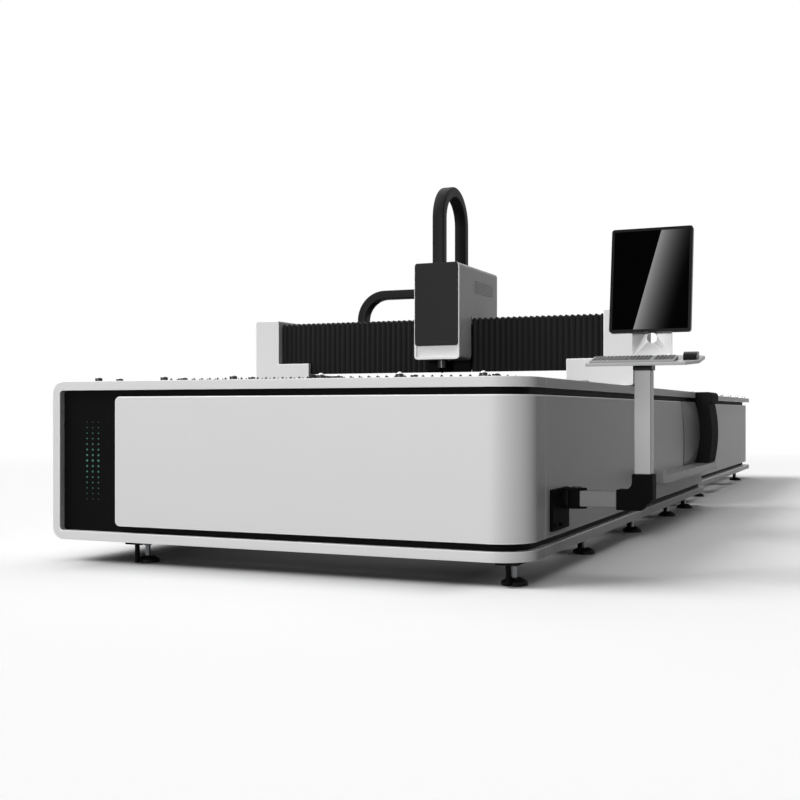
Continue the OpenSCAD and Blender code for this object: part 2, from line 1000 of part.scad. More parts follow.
module foot_screws() {
    color("silver")
        at_feet() {
            translate([0, 0, pad_h])
                cylinder(d = screw_d, h = floor_gap - bracket_t - pad_h);
            translate([0, 0, floor_gap - bracket_t - nut_h])
                cylinder(d = nut_d, h = nut_h, $fn = 6);
        }
}

module foot_pads() {
    color("black")
        at_feet() {
            cylinder(d = pad_d, h = pad_h - pad_c);
            translate([0, 0, pad_h - pad_c])
                cylinder(d1 = pad_d, d2 = pad_top, h = pad_c);
        }
}

// The table's outline from above, moved inwards and open or closed at its front
module table_plan(inset, front) {
    translate([-table_hw + inset, table_y + front])
        square([2 * (table_hw - inset), table_l - inset - front]);
}

module table_frame() {
    color("dimgray") {
        both_sides() {
            block([beam_x0, table_beam_y0, low_z], [table_hw - table_inner, table_beam_y1, beam_top]);
            block([beam_x0, beam_y1, tie_z], [beam_x0 + cross_w, table_beam_y0 + lap, tie_z + tie_h]);
        }
        cross_members(table_crosses, table_beam_y0, table_beam_y1);
    }
}

module table_upper_rail() {
    color("gainsboro")
        translate([0, 0, high_z])
            linear_extrude(rail_h)
                difference() {
                    table_plan(0, 0);
                    table_plan(table_inner + rail_w, -lap);
                }
}

module table_lower_rail() {
    color("gainsboro")
        translate([0, 0, floor_gap])
            linear_extrude(rail_h)
                difference() {
                    table_plan(0, 0);
                    table_plan(base_w, base_w);
                }
}

module table_liner() {
    color("black")
        translate([0, 0, low_z])
            linear_extrude(high_z - low_z)
                difference() {
                    table_plan(table_face, 0);
                    table_plan(table_inner, -lap);
                }
}

// A flat panel on one long side of the table
module table_side() {
    block([table_hw - table_face, table_y, pan_z0], [table_hw - table_set, table_end - table_set, pan_z1]);
}

module table_right_panel() {
    color("lightgray")
        table_side();
}

module table_left_panel() {
    color("lightgray")
        mirror([1, 0, 0])
            table_side();
}

module table_rear_panel() {
    w = table_hw - table_face;
    color("lightgray")
        block([-w, table_end - table_face, pan_z0], [w, table_end - table_set, pan_z1]);
}

module guide_rollers() {
    pitch = table_l / roller_n;
    color("silver")
        both_sides()
            for (i = [0 : roller_n - 1])
                translate([table_hw - rail_w / 2, table_y + (i + 0.5) * pitch, top_z]) {
                    cylinder(d = roller_d / 2, h = roller_h);
                    translate([0, 0, roller_h / 4])
                        cylinder(d = roller_d, h = roller_h / 2);
                }
}

module pallet_frame() {
    y1 = pallet_y + pallet_l;
    z1 = pallet_z + pallet_tube_h;
    color("gray")
        difference() {
            block([-pallet_hw, pallet_y, pallet_z], [pallet_hw, y1, z1]);
            block([-pallet_hw + pallet_tube, pallet_y + pallet_tube, pallet_z - lap],
                  [pallet_hw - pallet_tube, y1 - pallet_tube, z1 + lap]);
        }
}

// One slat in x and z: a strip with a row of pointed teeth, raised where it passes over the side beams
module slat_outline() {
    w = tooth_n * tooth_dx / 2;
    root = slat_top - tooth_h;
    z0 = pallet_z + pallet_tube_h;
    z1 = beam_top + wing_up;
    polygon(concat(
        [[w, z1], [pallet_hw, z1], [pallet_hw, z0], [-pallet_hw, z0], [-pallet_hw, z1], [-w, z1]],
        [for (i = [0 : 2 * tooth_n]) [-w + i * tooth_dx / 2, i % 2 == 0 ? root : slat_top]]
    ));
}

module slats() {
    color("darkgray")
        for (i = [0 : slat_n])
            translate([0, pallet_y + pallet_tube + i * slat_dy, 0])
                along_y(0, slat_t)
                    slat_outline();
}

module gantry_beam() {
    color("dimgray")
        along_x(-end_x0, end_x0)
            difference() {
                translate([beam_y, gbeam_z])
                    square([beam_d, beam_h]);
                translate([beam_y + beam_t, gbeam_z + beam_t])
                    square([beam_d - 2 * beam_t, beam_h - 2 * beam_t]);
            }
}

// End housing of the gantry on the right: upright, foot with a front plate raised over the slats, and
// the pad for its bearing blocks
module end_housing() {
    foot_top = bellows_z - cover_gap;
    over_z = slat_top + foot_clear;
    over_x = slat_hw + foot_side;
    along_y(gantry_y, gantry_y + gantry_l) {
        translate([end_x0, end_z0])
            round_rect(end_w, end_top - end_z0, end_r);
        translate([foot_x, over_z])
            square([end_x0 - foot_x + end_w / 2, foot_top - over_z]);
        translate([over_x, end_z0])
            square([end_x0 - over_x + end_w / 2, foot_top - end_z0]);
    }
    block([foot_x, gantry_y, over_z], [end_x0 + lap, gantry_y + foot_t, top_z + foot_h]);
    block([guide_x - bearing_w / 2, gantry_y + bearing_in, bearing_top],
          [guide_x + bearing_w / 2, gantry_y + gantry_l - bearing_in, end_z0 + lap]);
}

module right_end_housing() {
    color("gainsboro")
        end_housing();
}

module left_end_housing() {
    color("gainsboro")
        mirror([1, 0, 0])
            end_housing();
}

module bearing_blocks() {
    color("silver")
        both_sides()
            for (y = [gantry_y + bearing_in, gantry_y + gantry_l - bearing_in - bearing_l])
                along_y(y, y + bearing_l)
                    difference() {
                        translate([guide_x - bearing_w / 2, beam_top + bearing_t / 4])
                            square([bearing_w, bearing_top - beam_top - bearing_t / 4]);
                        translate([guide_x - guide_w / 2 - slide_gap, beam_top])
                            square([guide_w + 2 * slide_gap, guide_h + slide_gap]);
                    }
}

// Lower edges of the two X rails
xrail_zs = [gbeam_z + xrail_in, gbeam_z + beam_h - xrail_in - xrail_h];

module x_rails() {
    color("silver")
        for (z = xrail_zs)
            block([-end_x0, beam_y - xrail_d, z], [end_x0, beam_y, z + xrail_h]);
}

module chain_tray() {
    y = beam_y + beam_d;
    color("dimgray")
        along_x(-end_x0, chain_fixed + chain_w) {
            translate([y, chain_low - gutter_h])
                square([gutter_t, gutter_h]);
            translate([y, chain_low - gutter_t])
                square([tray_gutter, gutter_t]);
        }
}

// A zigzag edge along x, with its peaks at one level and its valleys a pleat's depth lower
function zigzag(x0, x1, n, peak, valley) =
    [for (i = [0 : n]) [x0 + (x1 - x0) * i / n, i % 2 == 0 ? valley : peak]];

// The pleated angle's full form, with pleats in front and on top
module pleated_block(x0, x1) {
    n = 2 * max(1, round((x1 - x0) / pleat_p));
    rear = beam_y + beam_d;
    front_edge = zigzag(x0, x1, n, bellows_y, bellows_y + pleat_d);
    top_edge = zigzag(x0, x1, n, bellows_top, bellows_top - pleat_d);
    intersection() {
        translate([0, 0, bellows_z])
            linear_extrude(bellows_h)
                polygon(concat([[x1, rear], [x0, rear]], front_edge));
        along_y(bellows_y, rear)
            polygon(concat([[x1, bellows_z], [x0, bellows_z]], top_edge));
    }
}

// Pleated cover with an angled section, folded along x
module bellows(x0, x1) {
    difference() {
        pleated_block(x0, x1);
        translate([0, bellows_t, -bellows_t])
            pleated_block(x0, x1);
    }
}

module left_bellows() {
    color("black")
        bellows(-end_x0, head_x - slide_gap);
}

module right_bellows() {
    color("black")
        bellows(head_x1 + slide_gap, end_x0);
}

// A band that bends back through half a turn, drawn with its bend to the left of the origin
module u_band(r, t, upper, lower) {
    difference() {
        circle(r);
        circle(r - t);
        translate([0, -r - lap])
            square(2 * r + 2 * lap);
    }
    translate([-lap, r - t])
        square([upper + lap, t]);
    translate([-lap, -r])
        square([lower + lap, t]);
}

module x_chain() {
    cx = chain_left + chain_r;
    color("black")
        along_y(chain_y, chain_y + chain_w)
            translate([cx, chain_top - chain_r])
                u_band(chain_r, chain_t, head_x - slide_gap - cx, chain_fixed - cx);
}

module carriage_plate() {
    y1 = carriage_y + carriage_t;
    color("gray") {
        block([head_x + head_t, carriage_y, bellows_z], [head_x1 - head_t, y1, head_back]);
        for (z = xrail_zs, x = [head_x + head_t, head_x1 - head_t - bearing_l])
            along_x(x, x + bearing_l)
                difference() {
                    translate([y1 - lap, z - bearing_t])
                        square([beam_y - y1 - bearing_t / 4 + lap, xrail_h + 2 * bearing_t]);
                    translate([beam_y - xrail_d - slide_gap, z - slide_gap])
                        square([xrail_d + slide_gap, xrail_h + 2 * slide_gap]);
                }
    }
}

// Vent slits through the right wall of the head housing
module vents() {
    y = head_y1 - vent_in - vent_l;
    for (i = [0 : vent_n - 1])
        translate([head_x1 - head_t - lap, y, head_top - vent_down - i * vent_dz])
            cube([head_t + 2 * lap, vent_l, vent_h]);
}

module head_housing() {
    front_t = cover_t + head_t;
    hole = tube_d + 2 * tool_gap;
    niche = 2 * cover_in;
    color("lightgray")
        difference() {
            along_y(head_y0, head_y1)
                translate([head_x, head_z])
                    round_rect(head_w, head_h, head_r);
            block([head_x - lap, carriage_y, head_z - lap], [head_x1 + lap, head_y1 + lap, head_back]);
            block([head_x + head_t, head_y0 + front_t, head_z + head_t],
                  [head_x1 - head_t, carriage_y - head_t, head_top - head_r]);
            block([head_x + head_t, head_y0 + front_t, head_back + head_t],
                  [head_x1 - head_t, head_y1 - head_t, head_top - head_r]);
            translate([tool_x - hole / 2, tool_y - hole / 2, head_z - lap])
                cube([hole, hole, head_t + 2 * lap]);
            along_y(head_y0 - lap, head_y0 + cover_t)
                translate([head_x + niche, head_z + niche])
                    round_rect(head_w - 2 * niche, cover_low, head_t);
            vents();
            block([head_x + loop_x - loop_gap, tool_y - loop_t / 2 - loop_gap, head_top - head_r - lap],
                  [head_x + loop_x + loop_w + loop_gap, tool_y + loop_t / 2 + loop_gap, head_top + lap]);
        }
}

module head_cover() {
    color("#333333")
        along_y(head_y0 - cover_t, head_y0)
            translate([head_x + cover_in, head_z + cover_low])
                round_rect(head_w - 2 * cover_in, head_h - cover_low, head_r - cover_in);
}

module z_rail() {
    y1 = carriage_y - head_t;
    color("silver")
        block([tool_x - z_rail_w / 2, y1 - z_rail_d, tool_z - head_down],
              [tool_x + z_rail_w / 2, y1, tool_top + head_up]);
}

module cable_loop() {
    r = (loop_d + loop_t) / 2;
    leg = loop_h - r;
    color("#222222")
        along_x(head_x + loop_x, head_x + loop_x + loop_w)
            translate([tool_y + loop_d / 2, head_top + leg])
                rotate(-90)
                    u_band(r, loop_t, leg, leg + head_top - tool_top - slide_gap);
}

module cutting_head() {
    back = carriage_y - head_t - z_rail_d - slide_gap;
    color("gray") {
        translate([tool_x - tool_w / 2, tool_y - tool_d / 2, tool_z])
            cube([tool_w, tool_d, tool_h]);
        block([tool_x - z_rail_w, tool_y, tool_z + tool_gap],
              [tool_x + z_rail_w, back, tool_top - tool_gap]);
        translate([tool_x, tool_y, tip_z + nozzle_h])
            cylinder(d = tube_d, h = tool_z - tip_z - nozzle_h + lap);
    }
}

module nozzle() {
    orifice = nozzle_h / 7;
    color("darkorange")
        translate([tool_x, tool_y, tip_z])
            difference() {
                cylinder(d1 = nozzle_h / 3, d2 = tube_d - orifice, h = nozzle_h);
                translate([0, 0, -lap])
                    cylinder(d = orifice, h = nozzle_h + 2 * lap, $fn = 24);
            }
}

// The swing axis of the console's arm
module at_swing(z) {
    translate([half + swing_x, swing_y, z])
        children();
}

// A lug of the arm's bracket, round about the swing axis
module lug(z) {
    r = elbow_w / 2;
    at_swing(z)
        linear_extrude(lug_t)
            difference() {
                union() {
                    circle(r);
                    translate([-swing_x - panel_set, -r])
                        square([swing_x + panel_set, 2 * r]);
                }
                circle(d = pin_d + pin_gap / 2);
            }
}

module arm_bracket() {
    z0 = floor_gap + arm_plate_up;
    color("black") {
        block([half - panel_set, arm_plate_y, z0],
              [half - panel_set + arm_plate_t, swing_y + elbow_w / 2, z0 + arm_plate_h]);
        lug(swing_z0 - slide_gap - lug_t);
        lug(swing_z1 + slide_gap);
    }
}

module swing_pin() {
    z0 = swing_z0 - slide_gap - lug_t;
    z1 = swing_z1 + slide_gap + lug_t;
    color("silver") {
        at_swing(z0)
            cylinder(d = pin_d, h = z1 - z0 + lap);
        at_swing(z1)
            cylinder(d = pin_head_d, h = pin_head_h);
    }
}

module arm_knuckle() {
    color("black")
        at_swing(swing_z0)
            linear_extrude(arm_w)
                difference() {
                    intersection() {
                        union() {
                            circle(d = knuckle_w);
                            translate([0, -knuckle_w / 2])
                                square(knuckle_w);
                        }
                        translate([knuckle_l - knuckle_w, -knuckle_w / 2])
                            square(knuckle_w);
                    }
                    circle(d = pin_d + 2 * pin_gap);
                }
}

module swing_arm() {
    color("silver")
        at_swing(swing_z0)
            translate([knuckle_l, -arm_w / 2, 0])
                cube([elbow_x - swing_x - knuckle_l, arm_w, arm_w]);
}

module arm_elbow() {
    r = elbow_w / 2;
    z = floor_gap + arm_up;
    fillet = (elbow_up - r) / 2;
    color("black")
        along_y(swing_y - r, swing_y + r)
            difference() {
                polygon([
                    [half + elbow_x, z - r],
                    [half + post_x + r - elbow_c, z - r],
                    [half + post_x + r, z - r + elbow_c],
                    [half + post_x + r, post_z0],
                    [half + post_x - r, post_z0],
                    [half + post_x - r, z + r + fillet],
                    [half + post_x - r - fillet, z + r + fillet],
                    [half + post_x - r - fillet, z + r],
                    [half + elbow_x, z + r]
                ]);
                translate([half + post_x - r - fillet, z + r + fillet])
                    circle(fillet);
            }
}

// The post's axis, on which the console turns
module at_post(z) {
    translate([half + post_x, swing_y, z])
        children();
}

module console_post() {
    color("lightgray") {
        at_post(post_z0)
            translate([-arm_w / 2, -arm_w / 2, 0])
                cube([arm_w, arm_w, post_z1 - post_z0]);
        at_post(post_z1 - lap)
            cylinder(d = spigot_d, h = spigot_h + lap);
    }
}

// The tilted frame of the tray: its underside, at the post's axis
module on_tray(z) {
    translate([half, swing_y, hub_z])
        rotate([tray_tilt, 0, 0])
            translate([0, 0, z])
                children();
}

module tray_hub() {
    base = post_z1 + slide_gap;
    color("#444444")
        difference() {
            at_post(base)
                translate([-hub_w / 2, -hub_w / 2, 0])
                    cube([hub_w, hub_w, hub_h + hub_w / 2]);
            on_tray(0)
                translate([tray_x, -tray_back, 0])
                    cube([tray_w, tray_d, hub_w]);
            at_post(base - lap)
                cylinder(d = spigot_d + 2 * pin_gap, h = spigot_h + slide_gap + lap);
        }
}

module tray() {
    x1 = tray_x + tray_w;
    y0 = -tray_back;
    y1 = tray_d - tray_back;
    color("lightgray")
        on_tray(0)
            linear_extrude(tray_t)
                polygon([
                    [tray_x, y0],
                    [x1 - tray_c, y0],
                    [x1, y0 + tray_c],
                    [x1, y1 - tray_c],
                    [x1 - tray_c, y1],
                    [tray_x, y1]
                ]);
}

// Keyboard with a sloped top, resting near the tray's front edge
module keyboard() {
    edge = key_h / 2;
    color("gray")
        on_tray(tray_t)
            along_x(tray_x + key_h, tray_x + key_h + key_w)
                translate([-tray_back + edge, 0])
                    polygon([[0, 0], [key_d, 0], [key_d, key_h], [edge, edge], [0, edge]]);
}

// Mouse with a domed back, resting beside the keyboard
module mouse() {
    r = arc_r(mouse_l, mouse_h);
    color("#222222")
        on_tray(tray_t)
            intersection() {
                translate([tray_x + tray_w - tray_c / 4 - mouse_w, -tray_back + tray_c, 0])
                    linear_extrude(mouse_h)
                        round_rect(mouse_w, mouse_l, mouse_w / 3);
                along_x(tray_x, tray_x + tray_w)
                    translate([-tray_back + tray_c + mouse_l / 2, mouse_h - r])
                        circle(r);
            }
}

// The tilt axis of the monitor
module at_tilt() {
    translate([half + mon_x, stand_y, mon_z])
        children();
}

// A hinge barrel along the tilt axis
module barrel(x0, x1, d) {
    at_tilt()
        translate([x0, 0, 0])
            rotate([0, 90, 0])
                cylinder(d = d, h = x1 - x0);
}

// Upright plate with a cable hole, a foot on the tray and a forked hinge
module monitor_stand() {
    fork = lug_w / 2 + lap;
    hw = stand_w / 2;
    color("white") {
        difference() {
            translate([half + mon_x - hw, stand_y - stand_t / 2, hub_z])
                cube([stand_w, stand_t, mon_z - hub_z]);
            on_tray(tray_t - hub_w)
                translate([tray_x, -tray_back, 0])
                    cube([tray_w, tray_d, hub_w]);
            translate([half + mon_x, stand_y + stand_t, hole_z])
                rotate([90, 0, 0])
                    cylinder(d = hole_d, h = 2 * stand_t);
            at_tilt()
                translate([-fork, -stand_t, -knuckle_d / 2 - lap])
                    cube([2 * fork, 2 * stand_t, knuckle_d]);
        }
        on_tray(tray_t)
            translate([mon_x - hw, stand_y - swing_y - stand_d / 4, 0])
                linear_extrude(stand_t / 2)
                    round_rect(stand_w, stand_d, stand_t);
        barrel(-hw, -fork, knuckle_d);
        barrel(fork, hw, knuckle_d);
        barrel(-hw, hw, tilt_d);
    }
}

// The monitor's frame, leaning back about the tilt axis
module leaning() {
    at_tilt()
        rotate([-mon_tilt, 0, 0])
            children();
}

// Back of the monitor's case, in front of the tilt axis
mon_back = stand_y - mon_y - mon_t;

module monitor() {
    color("black")
        difference() {
            union() {
                leaning() {
                    along_y(-mon_back - mon_t, -mon_back)
                        translate([-mon_w / 2, -mon_low])
                            round_rect(mon_w, mon_h, mon_r);
                    translate([-lug_w / 2, -mon_back - lap, -tilt_d])
                        cube([lug_w, mon_back + lap, 2 * tilt_d]);
                }
                barrel(-lug_w / 2, lug_w / 2, knuckle_d);
            }
            barrel(-lug_w / 2 - lap, lug_w / 2 + lap, tilt_d + 2 * pin_gap);
            leaning()
                along_y(-mon_back - mon_t - lap, -mon_back - mon_t + pocket)
                    translate([-mon_w / 2 + bezel, -mon_low + bezel])
                        square([mon_w - 2 * bezel, mon_h - 2 * bezel]);
        }
}

module screen() {
    edge = bezel + slide_gap;
    color("#111111")
        leaning()
            along_y(-mon_back - mon_t + lap, -mon_back - mon_t + pocket)
                translate([-mon_w / 2 + edge, -mon_low + edge])
                    square([mon_w - 2 * edge, mon_h - 2 * edge]);
}

place() bed_frame();
place() lower_rail();
place() upper_rail();
place() front_left_post();
place() recess_liner();
place() front_panel();
place() right_panel();
place() left_panel();
place() bay_panel();
place() side_pod();
place() sill_ledge();
place() sill_block();
place() rear_panel();
place() status_lights();
place() loading_deck();
place() ball_units();
place() linear_rails();
place() gear_racks();
place() pallet_tracks();
place() foot_brackets();
place() foot_screws();
place() foot_pads();
place() table_frame();
place() table_upper_rail();
place() table_lower_rail();
place() table_liner();
place() table_right_panel();
place() table_left_panel();
place() table_rear_panel();
place() guide_rollers();
place() arm_bracket();
place() swing_pin();
place() pallet_frame();
place() slats();
place() gantry_beam();
place() left_end_housing();
place() right_end_housing();
place() bearing_blocks();
place() x_rails();
place() chain_tray();
place() left_bellows();
place() right_bellows();
place() x_chain();
place() carriage_plate();
place() head_housing();
place() head_cover();
place() z_rail();
place() cable_loop();
place() cutting_head();
place() nozzle();
place() arm_knuckle();
place() swing_arm();
place() arm_elbow();
place() console_post();
place() tray_hub();
place() tray();
place() keyboard();
place() mouse();
place() monitor_stand();
place() monitor();
place() screen();
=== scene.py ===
"""Finishes, folding covers, fine details, studio and camera for a fiber laser cutting machine.

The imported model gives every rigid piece. This script dresses those pieces, models the parts that
change shape as the machine moves, and sets up the studio.
"""

from __future__ import annotations

import json
import logging
import math
from dataclasses import dataclass
from enum import Enum
from functools import partial
from typing import Any, Callable, Iterable

import bpy
from bpy.types import Material, Mesh, Node, NodeSocket, NodeTree, Object
from mathutils import Matrix, Vector
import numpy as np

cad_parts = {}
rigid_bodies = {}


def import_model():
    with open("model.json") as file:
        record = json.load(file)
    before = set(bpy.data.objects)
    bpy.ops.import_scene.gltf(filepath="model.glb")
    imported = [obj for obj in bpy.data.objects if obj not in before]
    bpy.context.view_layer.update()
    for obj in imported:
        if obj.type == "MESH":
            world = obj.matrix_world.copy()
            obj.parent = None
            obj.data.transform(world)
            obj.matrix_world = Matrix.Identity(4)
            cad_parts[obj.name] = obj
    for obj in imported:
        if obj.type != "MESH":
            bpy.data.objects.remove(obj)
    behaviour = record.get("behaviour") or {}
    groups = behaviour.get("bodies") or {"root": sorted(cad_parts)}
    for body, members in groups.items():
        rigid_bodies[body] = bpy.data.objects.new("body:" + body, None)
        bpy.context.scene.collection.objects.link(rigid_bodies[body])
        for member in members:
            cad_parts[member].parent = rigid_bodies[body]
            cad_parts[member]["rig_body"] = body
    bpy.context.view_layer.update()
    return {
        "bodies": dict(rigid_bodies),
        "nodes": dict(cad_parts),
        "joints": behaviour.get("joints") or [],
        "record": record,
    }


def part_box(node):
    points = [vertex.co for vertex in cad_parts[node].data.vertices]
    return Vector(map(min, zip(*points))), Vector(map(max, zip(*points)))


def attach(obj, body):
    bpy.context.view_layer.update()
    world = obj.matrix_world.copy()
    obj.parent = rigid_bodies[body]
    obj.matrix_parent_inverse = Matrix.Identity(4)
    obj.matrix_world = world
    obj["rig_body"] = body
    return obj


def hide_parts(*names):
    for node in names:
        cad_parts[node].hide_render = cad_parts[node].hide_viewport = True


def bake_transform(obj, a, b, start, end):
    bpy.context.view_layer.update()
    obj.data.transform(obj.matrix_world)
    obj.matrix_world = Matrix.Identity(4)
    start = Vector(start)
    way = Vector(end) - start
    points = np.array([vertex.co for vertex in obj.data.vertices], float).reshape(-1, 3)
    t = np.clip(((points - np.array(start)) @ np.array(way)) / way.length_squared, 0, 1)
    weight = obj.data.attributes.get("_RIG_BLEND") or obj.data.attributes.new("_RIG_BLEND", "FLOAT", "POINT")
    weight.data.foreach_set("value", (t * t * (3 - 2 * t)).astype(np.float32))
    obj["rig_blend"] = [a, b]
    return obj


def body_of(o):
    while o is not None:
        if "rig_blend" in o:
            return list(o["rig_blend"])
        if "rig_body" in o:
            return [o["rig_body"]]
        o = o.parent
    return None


LOG = logging.getLogger("laser_cutter")
MM = 0.001
WHITE = "#ffffff"
CREASE_DEGREES = 40.0
CORNER_STEPS = 3


def linear(hex_colour: str) -> tuple[float, float, float, float]:
    """Turn an sRGB hex colour into a linear RGBA colour.

    Args:
        hex_colour: Six hex digits, with or without a leading hash.

    Returns:
        Linear red, green, blue and an alpha of one.
    """
    digits = hex_colour.lstrip("#")
    channels = [int(digits[i:i + 2], 16) / 255 for i in (0, 2, 4)]
    red, green, blue = (c / 12.92 if c <= 0.04045 else ((c + 0.055) / 1.055) ** 2.4
                        for c in channels)
    return red, green, blue, 1.0


def add_node(
    tree: NodeTree,
    kind: str,
    settings: dict[str, Any] | None = None,
    inputs: dict[Any, Any] | None = None,
) -> Node:
    """Add a shader node with its settings and its inputs.

    Args:
        tree: The node tree that the node joins.
        kind: Blender's name of the node type.
        settings: Attributes of the node.
        inputs: Socket name or index to a value, or to an output socket that is linked to it.

    Returns:
        The new node.
    """
    node = tree.nodes.new(kind)
    for name, value in (settings or {}).items():
        setattr(node, name, value)
    for socket, value in (inputs or {}).items():
        if isinstance(value, NodeSocket):
            tree.links.new(value, node.inputs[socket])
        else:
            node.inputs[socket].default_value = value
    return node


def maths(tree: NodeTree, operation: str, *values: Any) -> NodeSocket:
    """Add an operation on numbers.

    Args:
        tree: The node tree that the operation joins.
        operation: Blender's name of the operation.
        values: Numbers, or output sockets with numbers.

    Returns:
        Output socket with the result.
    """
    node = add_node(tree, "ShaderNodeMath", {"operation": operation}, dict(enumerate(values)))
    return node.outputs["Value"]


def distance(tree: NodeTree, value: NodeSocket, middle: float) -> NodeSocket:
    """Add the distance of a number from a middle value.

    Args:
        tree: The node tree that the operation joins.
        value: Output socket with the number.
        middle: Where the distance is zero.

    Returns:
        Output socket with the distance.
    """
    return maths(tree, "ABSOLUTE", maths(tree, "SUBTRACT", value, middle))


def remap(
    tree: NodeTree,
    value: NodeSocket,
    source: tuple[float, float] = (0.0, 1.0),
    target: tuple[float, float] = (0.0, 1.0),
    curve: str = "LINEAR",
) -> NodeSocket:
    """Add a change of range that holds its ends.

    Args:
        tree: The node tree that the change joins.
        value: Output socket with the number.
        source: Range of the number.
        target: Range that it is brought to.
        curve: Blender's name of the way from one end to the other.

    Returns:
        Output socket with the number in its new range.
    """
    node = add_node(tree, "ShaderNodeMapRange", {"interpolation_type": curve},
                    {"Value": value, "From Min": source[0], "From Max": source[1],
                     "To Min": target[0], "To Max": target[1]})
    return node.outputs["Result"]


def mix_colours(tree: NodeTree, share: NodeSocket, first: Any, second: Any) -> NodeSocket:
    """Add a mix of two colours.

    Args:
        tree: The node tree that the mix joins.
        share: Output socket with the share of the second colour.
        first: Linear colour, or output socket with one.
        second: Linear colour, or output socket with one.

    Returns:
        Output socket with the mixed colour.
    """
    node = add_node(tree, "ShaderNodeMix", {"data_type": "RGBA"},
                    {"Factor": share, "A": first, "B": second})
    return node.outputs["Result"]


def blank_material(name: str) -> Material:
    """Add a material with an empty node tree.

    Args:
        name: Name of the real material.

    Returns:
        The new material.
    """
    material = bpy.data.materials.new(name)
    material.use_nodes = True
    material.node_tree.nodes.clear()
    return material


def surface(tree: NodeTree, inputs: dict[str, Any]) -> None:
    """Add a principled surface and make it the material's output.

    Args:
        tree: The material's node tree.
        inputs: Inputs of the surface, by name.
    """
    shader = add_node(tree, "ShaderNodeBsdfPrincipled", None, inputs)
    add_node(tree, "ShaderNodeOutputMaterial", None, {"Surface": shader.outputs["BSDF"]})


class Grain(Enum):
    """How a surface was made, which sets the pattern of its fine relief."""

    ORANGE_PEEL = "powder coat that flowed as it was baked"
    BRUSHED = "metal drawn or ground along one direction"
    MOULDED = "plastic from an etched mould"
    COATED_CLOTH = "woven cloth under a rubber skin"


@dataclass(frozen=True)
class Finish:
    """A surface finish: colour, gloss and fine relief at a real scale in millimetres."""

    name: str
    colour: str
    grain_mm: float
    relief_mm: float
    roughness: float
    grain: Grain
    metallic: float = 0.0
    mottle: float = 0.04
    specular: float = 0.5
    draw_axis: int = 0
    mottle_mm: float = 454.5
    mottle_detail: float = 5.0
    mottle_roughness: float = 0.6
    gloss_spread: float = 0.12
    brush_squeeze: float = 0.02
    weave_wobble: float = 0.4
    peel_detail: float = 1.0
    fine_detail: float = 3.0

    def material(self) -> Material:
        """Make the finish as a node material, once.

        Returns:
            The new material, or the one that was made before.
        """
        found = bpy.data.materials.get(self.name)
        if found:
            return found
        made = blank_material(self.name)
        tree = made.node_tree
        where = add_node(tree, "ShaderNodeTexCoord").outputs["Object"]
        cloud = add_node(tree, "ShaderNodeTexNoise", None,
                         {"Vector": where, "Scale": 1 / (self.mottle_mm * MM),
                          "Detail": self.mottle_detail, "Roughness": self.mottle_roughness})
        patches = cloud.outputs["Fac"]
        base = linear(self.colour)
        dark = tuple(c * (1 - self.mottle) for c in base[:3]) + (1.0,)
        spread = self.gloss_spread * self.roughness
        gloss = (self.roughness - spread, self.roughness + spread)
        bump = add_node(tree, "ShaderNodeBump", None,
                        {"Height": self._relief(tree, where), "Distance": self.relief_mm * MM,
                         "Strength": 1.0})
        surface(tree, {"Base Color": mix_colours(tree, patches, dark, base),
                       "Roughness": remap(tree, patches, target=gloss),
                       "Metallic": self.metallic, "Specular IOR Level": self.specular,
                       "Normal": bump.outputs["Normal"]})
        return made

    def _relief(self, tree: NodeTree, where: NodeSocket) -> NodeSocket:
        """Add the fine relief.

        Args:
            tree: The material's node tree.
            where: Output socket with the object's coordinates.

        Returns:
            Output socket with the height of the relief.
        """
        scale = 1 / (self.grain_mm * MM)
        if self.grain is Grain.COATED_CLOTH:
            threads = [
                add_node(tree, "ShaderNodeTexWave", {"bands_direction": axis},
                         {"Vector": where, "Scale": scale / math.tau,
                          "Distortion": self.weave_wobble}).outputs["Fac"]
                for axis in "XZ"
            ]
            return maths(tree, "MAXIMUM", *threads)
        stretch = [1.0, 1.0, 1.0]
        if self.grain is Grain.BRUSHED:
            stretch[self.draw_axis] = self.brush_squeeze
        turned = add_node(tree, "ShaderNodeMapping", None, {"Vector": where, "Scale": stretch})
        detail = self.peel_detail if self.grain is Grain.ORANGE_PEEL else self.fine_detail
        noise = add_node(tree, "ShaderNodeTexNoise", None,
                         {"Vector": turned.outputs["Vector"], "Scale": scale, "Detail": detail})
        return noise.outputs["Fac"]


powder_coat = partial(Finish, grain=Grain.ORANGE_PEEL)
metal = partial(Finish, grain=Grain.BRUSHED)
moulded = partial(Finish, grain=Grain.MOULDED)

# Powder coat on folded sheet: an even satin skin with a faint orange peel and soft reflections.
PALE_COAT = powder_coat("pale_powder_coat", "#dedede", 3.0, 0.012, 0.26, specular=0.008)
# The same coat with a painted highlight on the rounded edges: brighter and with more gloss.
EDGE_HIGHLIGHT_COAT = powder_coat("powder_coat_painted_edge_highlight", WHITE, 3.0, 0.006, 0.2, specular=0.2)
HEAD_COAT = powder_coat("white_powder_coat", "#e8e8e8", 2.0, 0.012, 0.26, specular=0.02)
MID_COAT = powder_coat("grey_powder_coat", "#9a9a9a", 3.0, 0.012, 0.3, specular=0.03)
BAY_COAT = powder_coat("bay_grey_powder_coat", "#8a8a8a", 3.0, 0.012, 0.3, specular=0.02)
COVER_COAT = powder_coat("charcoal_powder_coat", "#272727", 2.0, 0.015, 0.42, specular=0.06)
BLACK_COAT = powder_coat("black_powder_coat", "#121212", 2.5, 0.015, 0.45, specular=0.003)
LINER_COAT = powder_coat("matt_black_coat", "#0b0b0b", 2.5, 0.015, 0.6, specular=0.03)
POD_COAT = powder_coat("smooth_black_coat", "#2c2c2c", 5.0, 0.01, 0.5, specular=0.001)
TRAY_COAT = powder_coat("tray_grey_powder_coat", "#b4b4b4", 2.0, 0.012, 0.34, specular=0.2)
